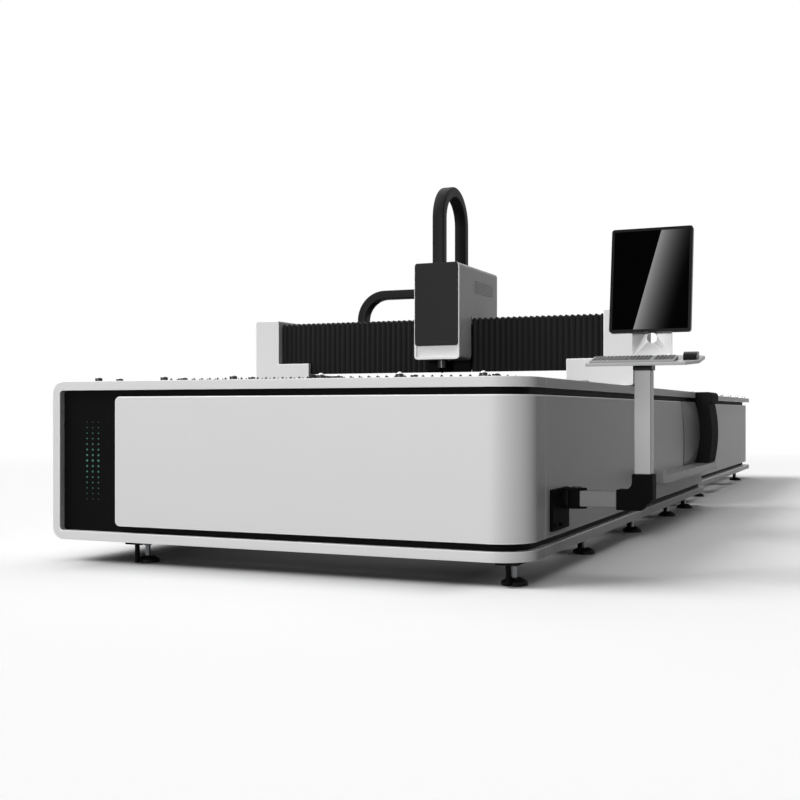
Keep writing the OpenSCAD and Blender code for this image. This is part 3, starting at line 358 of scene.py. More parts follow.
POST_COAT = powder_coat("post_grey_powder_coat", "#a5a5a5", 2.5, 0.012, 0.3, specular=0.15)
# The swing arm's grey is darker than the post's: painted shade on the arm.
ARM_SHADED_COAT = powder_coat("arm_grey_coat_painted_shade", "#838383", 2.5, 0.012, 0.3, specular=0.03)
FRAME_COAT = powder_coat("frame_primer", "#4a4c4e", 4.0, 0.02, 0.5)
# Ground or scaled steel: fine lines along the length and a long highlight across them.
RAIL_STEEL = metal("ground_rail_steel", "#b9babb", 0.9, 0.01, 0.28, metallic=1.0, draw_axis=1)
SLAT_STEEL = metal("scaled_slat_steel", "#262627", 1.4, 0.03, 0.55, metallic=0.3, mottle=0.4,
                   specular=0.1)
# Plated, blackened and anodised metal: fine upright lines.
BRIGHT_STEEL = metal("bright_zinc_plated_steel", "#d0d2d3", 0.7, 0.008, 0.2, metallic=1.0,
                     draw_axis=2)
DULL_STEEL = metal("dull_zinc_plated_steel", "#737577", 0.7, 0.008, 0.35, metallic=1.0, draw_axis=2)
CUP_STEEL = metal("blackened_steel", "#2c2d2e", 0.7, 0.008, 0.4, metallic=0.5, draw_axis=2)
TOOL_ALUMINIUM = metal("black_anodised_aluminium", "#121314", 0.5, 0.006, 0.35, metallic=0.4,
                       draw_axis=2)
# Copper in a dark brown, darker than bare copper all over.
NOZZLE_COPPER = metal("dark_copper", "#2a1f19", 0.4, 0.006, 0.3, metallic=1.0, draw_axis=2)
# Rubber-coated cloth: a dull black skin with the weave just showing, drawn coarse enough to see.
BELLOWS_CLOTH = Finish("rubber_coated_cloth", "#151515", 2.4, 0.05, 0.55, Grain.COATED_CLOTH,
                       mottle=0.15, specular=0.15)
# Moulded plastics: an even skin with a fine etched grain.
CARRIER_NYLON = moulded("moulded_nylon", "#181818", 1.2, 0.03, 0.5, mottle=0.1, specular=0.08)
CASE_ABS = moulded("moulded_black_abs", "#0a0a0a", 0.9, 0.012, 0.3, mottle=0.1, specular=0.1)
KEY_ABS = moulded("moulded_grey_abs", "#8f9092", 0.9, 0.015, 0.45, mottle=0.06)
KEYCAP_ABS = moulded("moulded_keycap_abs", "#3a3b3c", 0.9, 0.015, 0.5, mottle=0.06)
STAND_ABS = moulded("moulded_white_abs", "#f4f4f4", 0.9, 0.008, 0.25, mottle=0.02, specular=0.3)
FOOT_RUBBER = moulded("moulded_rubber", "#0e0e0e", 1.5, 0.04, 0.5, mottle=0.15, specular=0.1)


@dataclass(frozen=True)
class StatusLamp:
    """A lit diffuser in a strip of lamps: brightest half way up the strip."""

    name: str = "lit_green_acrylic"
    colour: str = "#33a683"
    unlit: str = "#10231b"
    roughness: float = 0.4
    middle_z: float = 0.475
    reach: float = 0.3
    glow: tuple[float, float] = (0.32, 0.02)

    def material(self) -> Material:
        """Make the lit acrylic.

        Returns:
            A green glow that falls off towards both ends of the strip.
        """
        made = blank_material(self.name)
        tree = made.node_tree
        place = add_node(tree, "ShaderNodeTexCoord")
        split = add_node(tree, "ShaderNodeSeparateXYZ", None, {"Vector": place.outputs["Object"]})
        away = distance(tree, split.outputs["Z"], self.middle_z)
        surface(tree, {"Base Color": linear(self.unlit), "Roughness": self.roughness,
                       "Emission Color": linear(self.colour),
                       "Emission Strength": remap(tree, away, (0.0, self.reach), self.glow)})
        return made


@dataclass(frozen=True)
class ScreenGlass:
    """A gloss panel that is switched off, with a painted reflection: a slanted glow that fades to its right
    edge.
    """

    name: str = "gloss_panel_glass_painted_reflection"
    colour: str = "#020202"
    roughness: float = 0.08
    specular: float = 0.008
    slant: float = 0.34
    edge: float = 0.285
    far: float = 0.83
    falloff: float = 3.0
    peak: float = 0.26

    def material(self, low: Vector, high: Vector) -> Material:
        """Make the glass.

        Args:
            low: Lowest corner of the screen.
            high: Highest corner of the screen.

        Returns:
            A black gloss with a soft diagonal painted reflection.
        """
        made = blank_material(self.name)
        tree = made.node_tree
        place = add_node(tree, "ShaderNodeTexCoord")
        split = add_node(tree, "ShaderNodeSeparateXYZ", None, {"Vector": place.outputs["Object"]})
        across = remap(tree, split.outputs["X"], (low.x, high.x))
        up = remap(tree, split.outputs["Z"], (low.z, high.z))
        lean = maths(tree, "MULTIPLY_ADD", up, -self.slant, across)
        fade = remap(tree, lean, (self.edge, self.far), (1.0, 0.0))
        # Painted reflection: a white glow that falls off from the slanted edge towards the right edge.
        painted_reflection = maths(tree, "MULTIPLY", maths(tree, "POWER", fade, self.falloff),
                      maths(tree, "GREATER_THAN", lean, self.edge))
        surface(tree, {"Base Color": linear(self.colour), "Roughness": self.roughness,
                       "Specular IOR Level": self.specular, "Emission Color": linear(WHITE),
                       "Emission Strength": maths(tree, "MULTIPLY", painted_reflection, self.peak)})
        return made


@dataclass(frozen=True)
class Dress:
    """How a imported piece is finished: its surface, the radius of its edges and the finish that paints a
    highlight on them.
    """

    finish: Finish
    edge_mm: float = 0.0
    edge_highlight_finish: Finish | None = None


def pale(edge_mm: float) -> Dress:
    """Choose the pale coat with a painted highlight on its edges.

    Args:
        edge_mm: Radius of the edges.

    Returns:
        The dress of a pale piece.
    """
    return Dress(PALE_COAT, edge_mm, EDGE_HIGHLIGHT_COAT)


DRESSES: dict[str, Dress] = {
    "bed_frame": Dress(FRAME_COAT),
    "lower_rail": pale(4.0),
    "upper_rail": pale(4.0),
    "front_left_post": pale(4.0),
    "recess_liner": Dress(LINER_COAT),
    "front_panel": pale(5.0),
    "right_panel": pale(4.0),
    "left_panel": pale(4.0),
    "bay_panel": Dress(BAY_COAT, 2.0),
    "side_pod": Dress(POD_COAT, 4.0),
    "sill_ledge": Dress(MID_COAT, 1.0),
    "sill_block": Dress(MID_COAT, 3.0),
    "rear_panel": pale(2.0),
    "loading_deck": Dress(MID_COAT, 1.0),
    "ball_units": Dress(BRIGHT_STEEL),
    "linear_rails": Dress(RAIL_STEEL),
    "gear_racks": Dress(RAIL_STEEL),
    "pallet_tracks": Dress(FRAME_COAT),
    "foot_brackets": Dress(BLACK_COAT, 1.0),
    "foot_screws": Dress(DULL_STEEL, 1.0),
    "foot_pads": Dress(FOOT_RUBBER, 2.0),
    "table_frame": Dress(FRAME_COAT),
    "table_upper_rail": pale(3.0),
    "table_lower_rail": pale(3.0),
    "table_liner": Dress(LINER_COAT),
    "table_right_panel": pale(4.0),
    "table_left_panel": pale(4.0),
    "table_rear_panel": pale(3.0),
    "guide_rollers": Dress(BRIGHT_STEEL, 1.0),
    "arm_bracket": Dress(BLACK_COAT, 1.5),
    "swing_pin": Dress(CUP_STEEL, 1.0),
    "pallet_frame": Dress(FRAME_COAT, 2.0),
    "slats": Dress(SLAT_STEEL),
    "gantry_beam": Dress(MID_COAT, 3.0),
    "left_end_housing": pale(4.0),
    "right_end_housing": pale(4.0),
    "bearing_blocks": Dress(BRIGHT_STEEL, 1.5),
    "x_rails": Dress(RAIL_STEEL),
    "chain_tray": Dress(MID_COAT, 1.0),
    "carriage_plate": Dress(BLACK_COAT, 2.0),
    "head_housing": Dress(HEAD_COAT, 6.0, EDGE_HIGHLIGHT_COAT),
    "head_cover": Dress(COVER_COAT, 4.0),
    "z_rail": Dress(RAIL_STEEL),
    "cutting_head": Dress(TOOL_ALUMINIUM, 1.5),
    "nozzle": Dress(NOZZLE_COPPER, 0.6),
    "arm_knuckle": Dress(BLACK_COAT, 1.5),
    "swing_arm": Dress(ARM_SHADED_COAT, 5.0),
    "arm_elbow": Dress(BLACK_COAT, 3.0),
    "console_post": Dress(POST_COAT, 5.0),
    "tray_hub": Dress(COVER_COAT, 2.0),
    "tray": Dress(TRAY_COAT, 2.0),
    "keyboard": Dress(KEY_ABS, 1.5),
    "mouse": Dress(CASE_ABS, 3.0),
    "monitor_stand": Dress(STAND_ABS, 3.0),
    "monitor": Dress(CASE_ABS, 3.0),
}


def deselect() -> None:
    """Clear the selection, so that an operator works on what comes next only."""
    bpy.ops.object.select_all(action="DESELECT")


def edit_mode() -> None:
    """Start to edit the mesh of the active object."""
    bpy.ops.object.mode_set(mode="EDIT")


def object_mode() -> None:
    """Stop editing the mesh of the active object."""
    bpy.ops.object.mode_set(mode="OBJECT")


def activate(piece: Object) -> None:
    """Make one object the active one and the only selected one.

    Args:
        piece: The object that operators work on next.
    """
    deselect()
    piece.select_set(True)
    bpy.context.view_layer.objects.active = piece


def pick(piece: Object, wanted: Callable[[Vector], bool]) -> None:
    """Select vertices of the piece that is being edited.

    Args:
        piece: The object in edit mode.
        wanted: True for the position of a vertex that is to be selected.
    """
    bpy.ops.mesh.select_all(action="DESELECT")
    object_mode()
    for vertex in piece.data.vertices:
        vertex.select = wanted(vertex.co)
    edit_mode()


def apply_modifier(piece: Object, kind: str, **settings: Any) -> None:
    """Add a modifier to a piece and apply it.

    Args:
        piece: The object that is changed.
        kind: Blender's name of the modifier type.
        settings: Attributes of the modifier.
    """
    activate(piece)
    modifier = piece.modifiers.new(kind.title(), kind)
    for name, value in settings.items():
        setattr(modifier, name, value)
    bpy.ops.object.modifier_apply(modifier=modifier.name)


def smooth(piece: Object, degrees: float = CREASE_DEGREES) -> None:
    """Shade a piece smooth, except across sharp edges.

    Args:
        piece: The object that is shaded.
        degrees: Angle from which an edge is sharp.
    """
    activate(piece)
    bpy.ops.object.shade_smooth_by_angle(angle=math.radians(degrees))


def settle(piece: Object) -> None:
    """Put a piece's place, turn and size into its mesh, so that it sits at the world's origin.

    Args:
        piece: The object that is settled.
    """
    activate(piece)
    bpy.ops.object.transform_apply(location=True, rotation=True, scale=True)


def close_up() -> None:
    """Fill the open ends of the piece in edit mode, turn its faces outwards and leave that mode."""
    bpy.ops.mesh.select_all(action="SELECT")
    bpy.ops.mesh.fill_holes(sides=0)
    bpy.ops.mesh.normals_make_consistent(inside=False)
    object_mode()


def paint(piece: Object, material: Material) -> None:
    """Give a piece one material.

    Args:
        piece: The object that is painted.
        material: Its only material from now on.
    """
    piece.data.materials.clear()
    piece.data.materials.append(material)


def box_of(node: str) -> tuple[Vector, Vector]:
    """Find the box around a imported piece.

    Args:
        node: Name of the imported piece.

    Returns:
        Its lowest and its highest corner.
    """
    low, high = (Vector(corner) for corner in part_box(node))
    return low, high


def place_copy(name: str, mesh: Mesh, where: Matrix) -> Object:
    """Add an object with its own copy of a mesh.

    Args:
        name: Name of the new object.
        mesh: The mesh that is copied.
        where: Place, turn and size of the object.

    Returns:
        The new object.
    """
    copy = bpy.data.objects.new(name, mesh.copy())
    copy.matrix_world = where
    bpy.context.scene.collection.objects.link(copy)
    return copy


def join_up(name: str, parts: list[Object]) -> Object:
    """Join several objects into one piece at the world's origin.

    Args:
        name: Name of the piece.
        parts: The objects that become one.

    Returns:
        The piece.
    """
    deselect()
    for part in parts:
        part.select_set(True)
    bpy.context.view_layer.objects.active = parts[0]
    bpy.ops.object.join()
    whole = bpy.context.object
    whole.name = name
    settle(whole)
    return whole


def repeat(piece: Object, count: int, step: Vector, **settings: Any) -> None:
    """Repeat a piece at equal steps.

    Args:
        piece: The object that is repeated.
        count: How often it is there in the end.
        step: Way from one to the next.
        settings: Further attributes of the array.
    """
    apply_modifier(piece, "ARRAY", count=count, use_relative_offset=False,
                   use_constant_offset=True, constant_offset_displace=step, **settings)


def draw_out(way: Vector) -> None:
    """Draw the selected faces or edges out.

    Args:
        way: How far and where to.
    """
    bpy.ops.mesh.extrude_region_move(TRANSFORM_OT_translate={"value": way})


def tapered_block(size: Vector, centre: Vector, taper: tuple[float, float]) -> Object:
    """Model a block with a top that is smaller than its foot.

    Args:
        size: Length along each axis.
        centre: Middle of the block.
        taper: Shares of the length along X and Y that are left at the top.

    Returns:
        The block.
    """
    deselect()
    bpy.ops.mesh.primitive_cube_add(size=1.0)
    block = bpy.context.object
    block.scale = size
    block.location = centre
    settle(block)
    edit_mode()
    pick(block, lambda v: v.z > centre.z)
    bpy.ops.transform.resize(value=(*taper, 1.0))
    object_mode()
    return block


def rounded_section(
    name: str, place: Vector, size: tuple[float, float], turn: tuple[float, ...], corner: float
) -> Object:
    """Model a flat rounded rectangle, ready to be drawn out, and leave it in edit mode.

    Args:
        name: Name of the new object.
        place: Centre of the rectangle.
        size: Width and height before it is turned.
        turn: Euler angles of the rectangle's plane.
        corner: Radius of its corners.

    Returns:
        The object, in edit mode with all of it selected.
    """
    deselect()
    bpy.ops.mesh.primitive_plane_add(size=1.0)
    piece = bpy.context.object
    piece.name = name
    piece.scale = (*size, 1.0)
    settle(piece)
    edit_mode()
    bpy.ops.mesh.select_all(action="SELECT")
    bpy.ops.mesh.bevel(affect="VERTICES", offset=corner, segments=CORNER_STEPS)
    object_mode()
    piece.rotation_euler = turn
    piece.location = place
    settle(piece)
    edit_mode()
    bpy.ops.mesh.select_all(action="SELECT")
    return piece


@dataclass
class PackedPieces:
    """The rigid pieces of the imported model, each with its finish and softened edges."""

    frame: dict[str, Any]
    slots: dict[str, str]
    soft_angle: float = 35.0
    flat_angle: float = 0.5
    edge_steps: int = 2
    merge: float = 1e-5
    flush: tuple[str, ...] = ("lower_rail", "upper_rail", "front_left_post")

    def dress(self) -> None:
        """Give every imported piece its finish, and a softened skin where its edges show."""
        nodes = self.frame["nodes"]
        for name, node in nodes.items():
            dress = DRESSES.get(name)
            if dress is None:
                continue
            paint(node, dress.finish.material())
            if dress.edge_mm:
                self._skin(name, node, dress)
            LOG.info("%s: %s, edges of %.1f mm", name, dress.finish.name, dress.edge_mm)
        lit = {"status_lights": StatusLamp().material(),
               "screen": ScreenGlass().material(*box_of("screen"))}
        for name, material in lit.items():
            paint(nodes[name], material)
            LOG.info("%s: %s", name, material.name)

    def _skin(self, name: str, node: Object, dress: Dress) -> None:
        """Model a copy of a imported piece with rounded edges, and show it in the piece's stead.

        Args:
            name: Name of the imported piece.
            node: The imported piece.
            dress: Its finish and edge radius.
        """
        skin = place_copy(f"{name}_skin", node.data, node.matrix_world.copy())
        settle(skin)
        edit_mode()
        bpy.ops.mesh.select_all(action="SELECT")
        bpy.ops.mesh.remove_doubles(threshold=self.merge)
        bpy.ops.mesh.dissolve_limited(angle_limit=math.radians(self.flat_angle))
        self._mark_edges(skin, name in self.flush)
        paint(skin, dress.finish.material())
        # The rounded edges get a second material, a painted highlight.
        if dress.edge_highlight_finish:
            skin.data.materials.append(dress.edge_highlight_finish.material())
        apply_modifier(skin, "BEVEL", width=dress.edge_mm * MM, segments=self.edge_steps,
                       limit_method="WEIGHT", use_clamp_overlap=True,
                       material=1 if dress.edge_highlight_finish else -1)
        smooth(skin, self.soft_angle)
        apply_modifier(skin, "WEIGHTED_NORMAL", keep_sharp=True)
        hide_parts(name)
        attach(skin, body_of(node)[0])

    def _mark_edges(self, skin: Object, flush: bool) -> None:
        """Mark the edges that are to be rounded, and leave edit mode.

        Args:
            skin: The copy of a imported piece, in edit mode.
            flush: True for a piece that meets the front left post without a seam.
        """
        bpy.ops.mesh.select_mode(type="EDGE")
        bpy.ops.mesh.select_all(action="DESELECT")
        bpy.ops.mesh.edges_select_sharp(sharpness=math.radians(self.soft_angle))
        object_mode()
        end = box_of("front_left_post")[1]
        mesh = skin.data
        weight = mesh.attributes.new("bevel_weight_edge", "FLOAT", "EDGE")
        for edge in mesh.edges:
            ends = [mesh.vertices[i].co for i in edge.vertices]
            butt = any(all(abs(co[axis] - end[axis]) < self.merge
                           and co[1 - axis] < end[1 - axis] + self.merge for co in ends)
                       for axis in (0, 1))
            weight.data[edge.index].value = float(edge.select and not (flush and butt))
        edit_mode()
        bpy.ops.mesh.select_mode(type="VERT")
        object_mode()


@dataclass
class BallUnits:
    """The ball units of the loading deck: dark cups, each with a bright free ball."""

    node: str = "ball_units"
    rim_mm: float = 866.2

    def build(self) -> Object:
        """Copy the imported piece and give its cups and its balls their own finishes.

        Returns:
            The dressed ball units.
        """
        node = bpy.data.objects[self.node]
        units = place_copy(f"{self.node}_skin", node.data, node.matrix_world.copy())
        settle(units)
        smooth(units)
        paint(units, CUP_STEEL.material())
        units.data.materials.append(BRIGHT_STEEL.material())
        for face in units.data.polygons:
            face.material_index = int(face.center.z > self.rim_mm * MM)
        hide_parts(self.node)
        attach(units, "bed")
        return units


@dataclass
class PleatedCover:
    """A concertina cover that closes the beam beside the head and folds as the head travels."""

    node: str
    head_at_high_x: bool
    pleat_mm: float = 34.0
    deep_mm: float = 14.0
    cloth_mm: float = 3.0
    fold_mm: float = 2.5
    fold_steps: int = 2
    fold_degrees: float = 30.0
    merge: float = 1e-4

    def build(self) -> Object:
        """Model one pleat, repeat it along the beam and tie its two ends.

        Returns:
            The finished cover.
        """
        low, high = box_of(self.node)
        count = max(2, round((high.x - low.x) / (self.pleat_mm * MM)))
        pitch = (high.x - low.x) / count
        cover = self._pleat(low, high, pitch)
        repeat(cover, count, Vector((pitch, 0.0, 0.0)), use_merge_vertices=True,
               merge_threshold=self.merge)
        apply_modifier(cover, "SOLIDIFY", thickness=self.cloth_mm * MM, offset=-1.0)
        smooth(cover, self.fold_degrees)
        paint(cover, BELLOWS_CLOTH.material())
        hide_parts(self.node)
        ends = [Vector((x, low.y, low.z)) for x in (low.x, high.x)]
        if not self.head_at_high_x:
            ends.reverse()
        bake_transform(cover, "gantry", "carriage", ends[0], ends[1])
        return cover

    def _pleat(self, low: Vector, high: Vector, pitch: float) -> Object:
        """Model one pleat at the cover's low end: a front and a roof with a fold in the middle.

        Args:
            low: Lowest corner of the cover.
            high: Highest corner of the cover.
            pitch: Length of the pleat.

        Returns:
            The pleat.
        """
        deep = self.deep_mm * MM
        back, roof, middle = low.y + deep, high.z - deep, low.x + pitch / 2
        deselect()
        bpy.ops.mesh.primitive_grid_add(x_subdivisions=2, y_subdivisions=1, size=1.0)
        pleat = bpy.context.object
        pleat.name = f"{self.node}_cloth"
        pleat.scale = (pitch, roof - low.z, 1.0)
        pleat.rotation_euler = (math.pi / 2, 0.0, 0.0)
        pleat.location = (middle, back, (roof + low.z) / 2)
        settle(pleat)
        edit_mode()
        pick(pleat, lambda v: v.z > roof - MM)
        draw_out(Vector((0.0, high.y - back, 0.0)))
        pick(pleat, lambda v: abs(v.x - middle) < MM and v.y < back + MM)
        bpy.ops.transform.translate(value=(0.0, -deep, 0.0))
        pick(pleat, lambda v: abs(v.x - middle) < MM and v.z > roof - MM)
        bpy.ops.transform.translate(value=(0.0, 0.0, deep))
        pick(pleat, lambda v: abs(v.x - middle) < MM)
        bpy.ops.mesh.bevel(affect="EDGES", offset=self.fold_mm * MM, segments=self.fold_steps)
        bpy.ops.mesh.select_all(action="SELECT")
        bpy.ops.mesh.normals_make_consistent(inside=False)
        object_mode()
        return pleat


@dataclass
class BeamChain:
    """The cable carrier along the beam: a lower run on the tray, a bend and an upper run."""

    node: str = "x_chain"
    thick_mm: float = 54.0
    corner_mm: float = 6.0
    steps: int = 28
    far: float = 50.0

    def build(self) -> list[Object]:
        """Model the three stretches of the carrier. The bend moves at half the head's speed.

        Returns:
            The lower run, the bend and the upper run.
        """
        low, high = box_of(self.node)
        thick = self.thick_mm * MM
        outer = (high.z - low.z) / 2
        bend_x = low.x + outer
        mid_y, mid_z = (low.y + high.y) / 2, (low.z + high.z) / 2
        reach = outer - thick / 2
        lower_end, upper_end = self._run_ends(mid_z)
        section = partial(rounded_section, size=(thick, high.y - low.y),
                          turn=(0.0, math.pi / 2, 0.0), corner=self.corner_mm * MM)
        lower = section("chain_lower_run", Vector((bend_x, mid_y, mid_z - reach)))
        draw_out(Vector((lower_end - bend_x, 0.0, 0.0)))
        close_up()
        upper = section("chain_upper_run", Vector((bend_x, mid_y, mid_z + reach)))
        draw_out(Vector((upper_end - bend_x, 0.0, 0.0)))
        close_up()
        bend = section("chain_bend", Vector((bend_x, mid_y, mid_z + reach)))
        bpy.ops.mesh.spin(steps=self.steps, angle=math.pi, center=(bend_x, mid_y, mid_z),
                          axis=(0.0, 1.0, 0.0))
        close_up()
        runs = [lower, bend, upper]
        for run in runs:
            smooth(run)
            paint(run, CARRIER_NYLON.material())
        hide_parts(self.node)
        away = Vector((0.0, self.far, 0.0))
        centre = Vector((bend_x, mid_y, mid_z))
        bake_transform(bend, "gantry", "carriage", centre - away, centre + away)
        length = lower_end - bend_x
        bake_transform(lower, "gantry", "carriage", Vector((lower_end, mid_y, mid_z)),
                 Vector((bend_x - length, mid_y, mid_z)))
        length = upper_end - bend_x
        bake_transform(upper, "gantry", "carriage", Vector((bend_x - length, mid_y, mid_z)),
                 Vector((upper_end, mid_y, mid_z)))
        return runs

    def _run_ends(self, mid_z: float) -> tuple[float, float]:
        """Find where the two straight runs end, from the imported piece.

        Args:
            mid_z: Height of the bend's centre.

        Returns:
            End of the lower run and end of the upper run.
        """
        node = bpy.data.objects[self.node]
        points = [node.matrix_world @ vertex.co for vertex in node.data.vertices]
        return max(p.x for p in points if p.z < mid_z), max(p.x for p in points if p.z > mid_z)


@dataclass
class HeadLoop:
    """The arched cable carrier from the carriage up and over to the cutting head."""

    node: str = "cable_loop"
    thick_mm: float = 60.0
    corner_mm: float = 8.0
    steps: int = 28

    def build(self) -> Object:
        """Model the loop as one band: a front leg, a half turn and a rear leg.

        Returns:
            The finished loop.
        """
        low, high = box_of(self.node)
        thick = self.thick_mm * MM
        outer = (high.y - low.y) / 2
        mid_x, mid_y = (low.x + high.x) / 2, (low.y + high.y) / 2
        turn_z = high.z - outer
        node = bpy.data.objects[self.node]
        rear_z = min(v.co.z for v in node.data.vertices if v.co.y > mid_y)
        band = rounded_section("head_loop_band", Vector((mid_x, low.y + thick / 2, low.z)),
                               (high.x - low.x, thick), (0.0, 0.0, 0.0), self.corner_mm * MM)
        draw_out(Vector((0.0, 0.0, turn_z - low.z)))
        bpy.ops.mesh.spin(steps=self.steps, angle=math.pi, center=(mid_x, mid_y, turn_z),
                          axis=(1.0, 0.0, 0.0))
        draw_out(Vector((0.0, 0.0, rear_z - turn_z)))
        close_up()
        smooth(band)
        paint(band, CARRIER_NYLON.material())
        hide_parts(self.node)
        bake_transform(band, "carriage", "z_slide", Vector((mid_x, high.y - thick, turn_z)),
                 Vector((mid_x, low.y + thick, turn_z)))
        return band


@dataclass
class Fasteners:
    """Socket-head screws: one is modelled and copied to every place where a screw sits."""

    name: str
    body: str
    head_mm: float = 10.0
    high_mm: float = 5.0
    finish: Finish = BRIGHT_STEEL
    slot: str = "steel"
    sides: int = 18
    rim_share: float = 0.45
    socket_share: float = 0.6
    round_share: float = 0.15
    round_steps: int = 2

    def build(self, spots: list[Vector], way: Vector) -> Object:
        """Model the screw heads.

        Args:
            spots: Foot of each head.
            way: Where the heads stand out to.

        Returns:
            All the heads as one piece.
        """
        head = self._head()
        turn = way.to_track_quat("Z", "Y").to_matrix().to_4x4()
        copies = [place_copy(f"{self.name}_part", head.data, Matrix.Translation(spot) @ turn)
                  for spot in spots]
        bpy.data.objects.remove(head)
        whole = join_up(self.name, copies)
        smooth(whole)
        paint(whole, self.finish.material())
        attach(whole, self.body)
        return whole

    def _head(self) -> Object:
        """Model one head at the origin.

        Returns:
            A rounded cylinder with a round socket.
        """
        deselect()
        high = self.high_mm * MM
        radius = self.head_mm * MM / 2
        bpy.ops.mesh.primitive_cylinder_add(vertices=self.sides, radius=radius, depth=high,
                                            location=(0.0, 0.0, high / 2))
        head = bpy.context.object
        settle(head)
        edit_mode()
        pick(head, lambda v: v.z > high / 2)
        bpy.ops.mesh.inset(thickness=self.rim_share * radius)
        draw_out(Vector((0.0, 0.0, -self.socket_share * high)))
        object_mode()
        apply_modifier(head, "BEVEL", width=self.round_share * radius, segments=self.round_steps,
                       limit_method="ANGLE", angle_limit=math.radians(CREASE_DEGREES))
        return head


@dataclass
class ScrewSets:
    """The screws of the gantry's rails, the console's bracket and the gantry's end housings."""

    rail_inset_mm: float = 17.0
    rail_first_mm: float = 50.0
    rail_pitch_mm: float = 120.0
    rail_spare_mm: float = 60.0
    plate_mm: float = 15.0
    plate_edge_mm: float = 24.0
    plate_far_mm: float = 110.0
    housing_insets_mm: tuple[float, float] = (30.0, 135.0)
    housing_heights_mm: tuple[float, float] = (895.0, 1065.0)
    housing_edge_mm: float = 30.0

    def build(self) -> list[Object]:
        """Fit every set of screws.

        Returns:
            One piece for each set.
        """
        return [self._rails(), self._bracket(), self._housing("left_end_housing", True),
                self._housing("right_end_housing", False)]

    def _rails(self) -> Object:
        """Fit the sunk screws along the gantry's two rails.

        Returns:
            The screws of both rails.
        """
        low, high = box_of("linear_rails")
        inset, pitch = self.rail_inset_mm * MM, self.rail_pitch_mm * MM
        first = low.y + self.rail_first_mm * MM
        count = int((high.y - low.y - self.rail_spare_mm * MM) / pitch)
        spots = [Vector((x, first + step * pitch, high.z))
                 for x in (low.x + inset, high.x - inset) for step in range(count)]
        screws = Fasteners("guide_rail_screws", "bed", head_mm=15.0, high_mm=0.25)
        return screws.build(spots, Vector((0.0, 0.0, 1.0)))

    def _bracket(self) -> Object:
        """Fit the four screws of the console's bracket.

        Returns:
            The screws of its plate.
        """
        low, high = box_of("arm_bracket")
        face, edge = low.x + self.plate_mm * MM, self.plate_edge_mm * MM
        spots = [Vector((face, y, z)) for y in (low.y + edge, low.y + self.plate_far_mm * MM)
                 for z in (low.z + edge, high.z - edge)]
        screws = Fasteners("bracket_screws", "bed", head_mm=16.0, high_mm=7.0, finish=BLACK_COAT,
                           slot="black_paint")
        return screws.build(spots, Vector((1.0, 0.0, 0.0)))

    def _housing(self, node: str, left: bool) -> Object:
        """Fit the screws at the rear of one of the gantry's end housings.

        Args:
            node: Name of the housing.
            left: True for the housing at the low end of X.

        Returns:
            The screws of the housing.
        """
        low, high = box_of(node)
        insets = [inset * MM for inset in self.housing_insets_mm]
        columns = [low.x + inset if left else high.x - inset for inset in insets]
        rows = [*(height * MM for height in self.housing_heights_mm),
                high.z - self.housing_edge_mm * MM]
        spots = [Vector((x, high.y, z)) for x in columns for z in rows]
        screws = Fasteners(f"{node}_screws", "gantry", head_mm=11.0, high_mm=4.0)
        return screws.build(spots, Vector((0.0, 1.0, 0.0)))


@dataclass
class KeyField:
    """The keys of the keyboard, in a main block and a number block on its sloped top."""

    node: str = "keyboard"
    pitch_mm: float = 16.2
    cap_mm: float = 13.4
    high_mm: float = 3.0
    rim_mm: float = 0.6
    taper: tuple[float, float] = (0.8, 0.82)
    rows: int = 5
    gap_column: int = 15
    bar_columns: range = range(4, 10)
    bar_column: int = 6
    bar_shift: float = 0.5
    bar_stretch: float = 7.0
    least_upright: float = 0.8
    same_plane: float = 0.9995

    def build(self) -> Object:
        """Model one key cap, copy it over the top and stretch one copy to the long bar.

        Returns:
            The key caps as one piece.
        """
        centre, normal, wide = self._top()
        high, pitch = self.high_mm * MM, self.pitch_mm * MM
        cap = tapered_block(Vector((self.cap_mm * MM, self.cap_mm * MM, high)),
                            Vector((0.0, 0.0, high / 2)), self.taper)
        apply_modifier(cap, "BEVEL", width=self.rim_mm * MM, segments=1, limit_method="ANGLE")
        across = Vector((1.0, 0.0, 0.0))
        back = normal.cross(across).normalized()
        turn = Matrix((across, back, normal)).transposed().to_4x4()
        columns = int(wide / pitch)
        caps = []
        for row in range(self.rows):
            for column in range(columns):
                bar = row == 0 and column in self.bar_columns
                if column == self.gap_column or (bar and column != self.bar_column):
                    continue
                shift, stretch = (self.bar_shift, self.bar_stretch) if bar else (0.0, 1.0)
                side = (column - (columns - 1) / 2 + shift) * pitch
                deep = (row - (self.rows - 1) / 2) * pitch
                where = Matrix.Translation(centre + across * side + back * deep) @ turn
                wider = Matrix.Diagonal((stretch, 1.0, 1.0, 1.0))
                caps.append(place_copy("key_cap", cap.data, where @ wider))
        bpy.data.objects.remove(cap)
        keys = join_up("keyboard_key_caps", caps)
        smooth(keys)
        paint(keys, KEYCAP_ABS.material())
        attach(keys, "console")
        return keys

    def _top(self) -> tuple[Vector, Vector, float]:
        """Find the keyboard's sloped top.

        Returns:
            Its centre, its normal and its width.
        """
        mesh = bpy.data.objects[self.node].data
        largest = max((f for f in mesh.polygons if f.normal.z > self.least_upright),
                      key=lambda f: f.area)
        normal = largest.normal.copy()
        points = [mesh.vertices[i].co for f in mesh.polygons
                  if f.normal.dot(normal) > self.same_plane for i in f.vertices]
        low = Vector(map(min, zip(*points)))
        high = Vector(map(max, zip(*points)))
        middle = (low + high) / 2
        plane = largest.center
        middle.z = plane.z - (normal.y * (middle.y - plane.y)) / normal.z
        return middle, normal, high.x - low.x


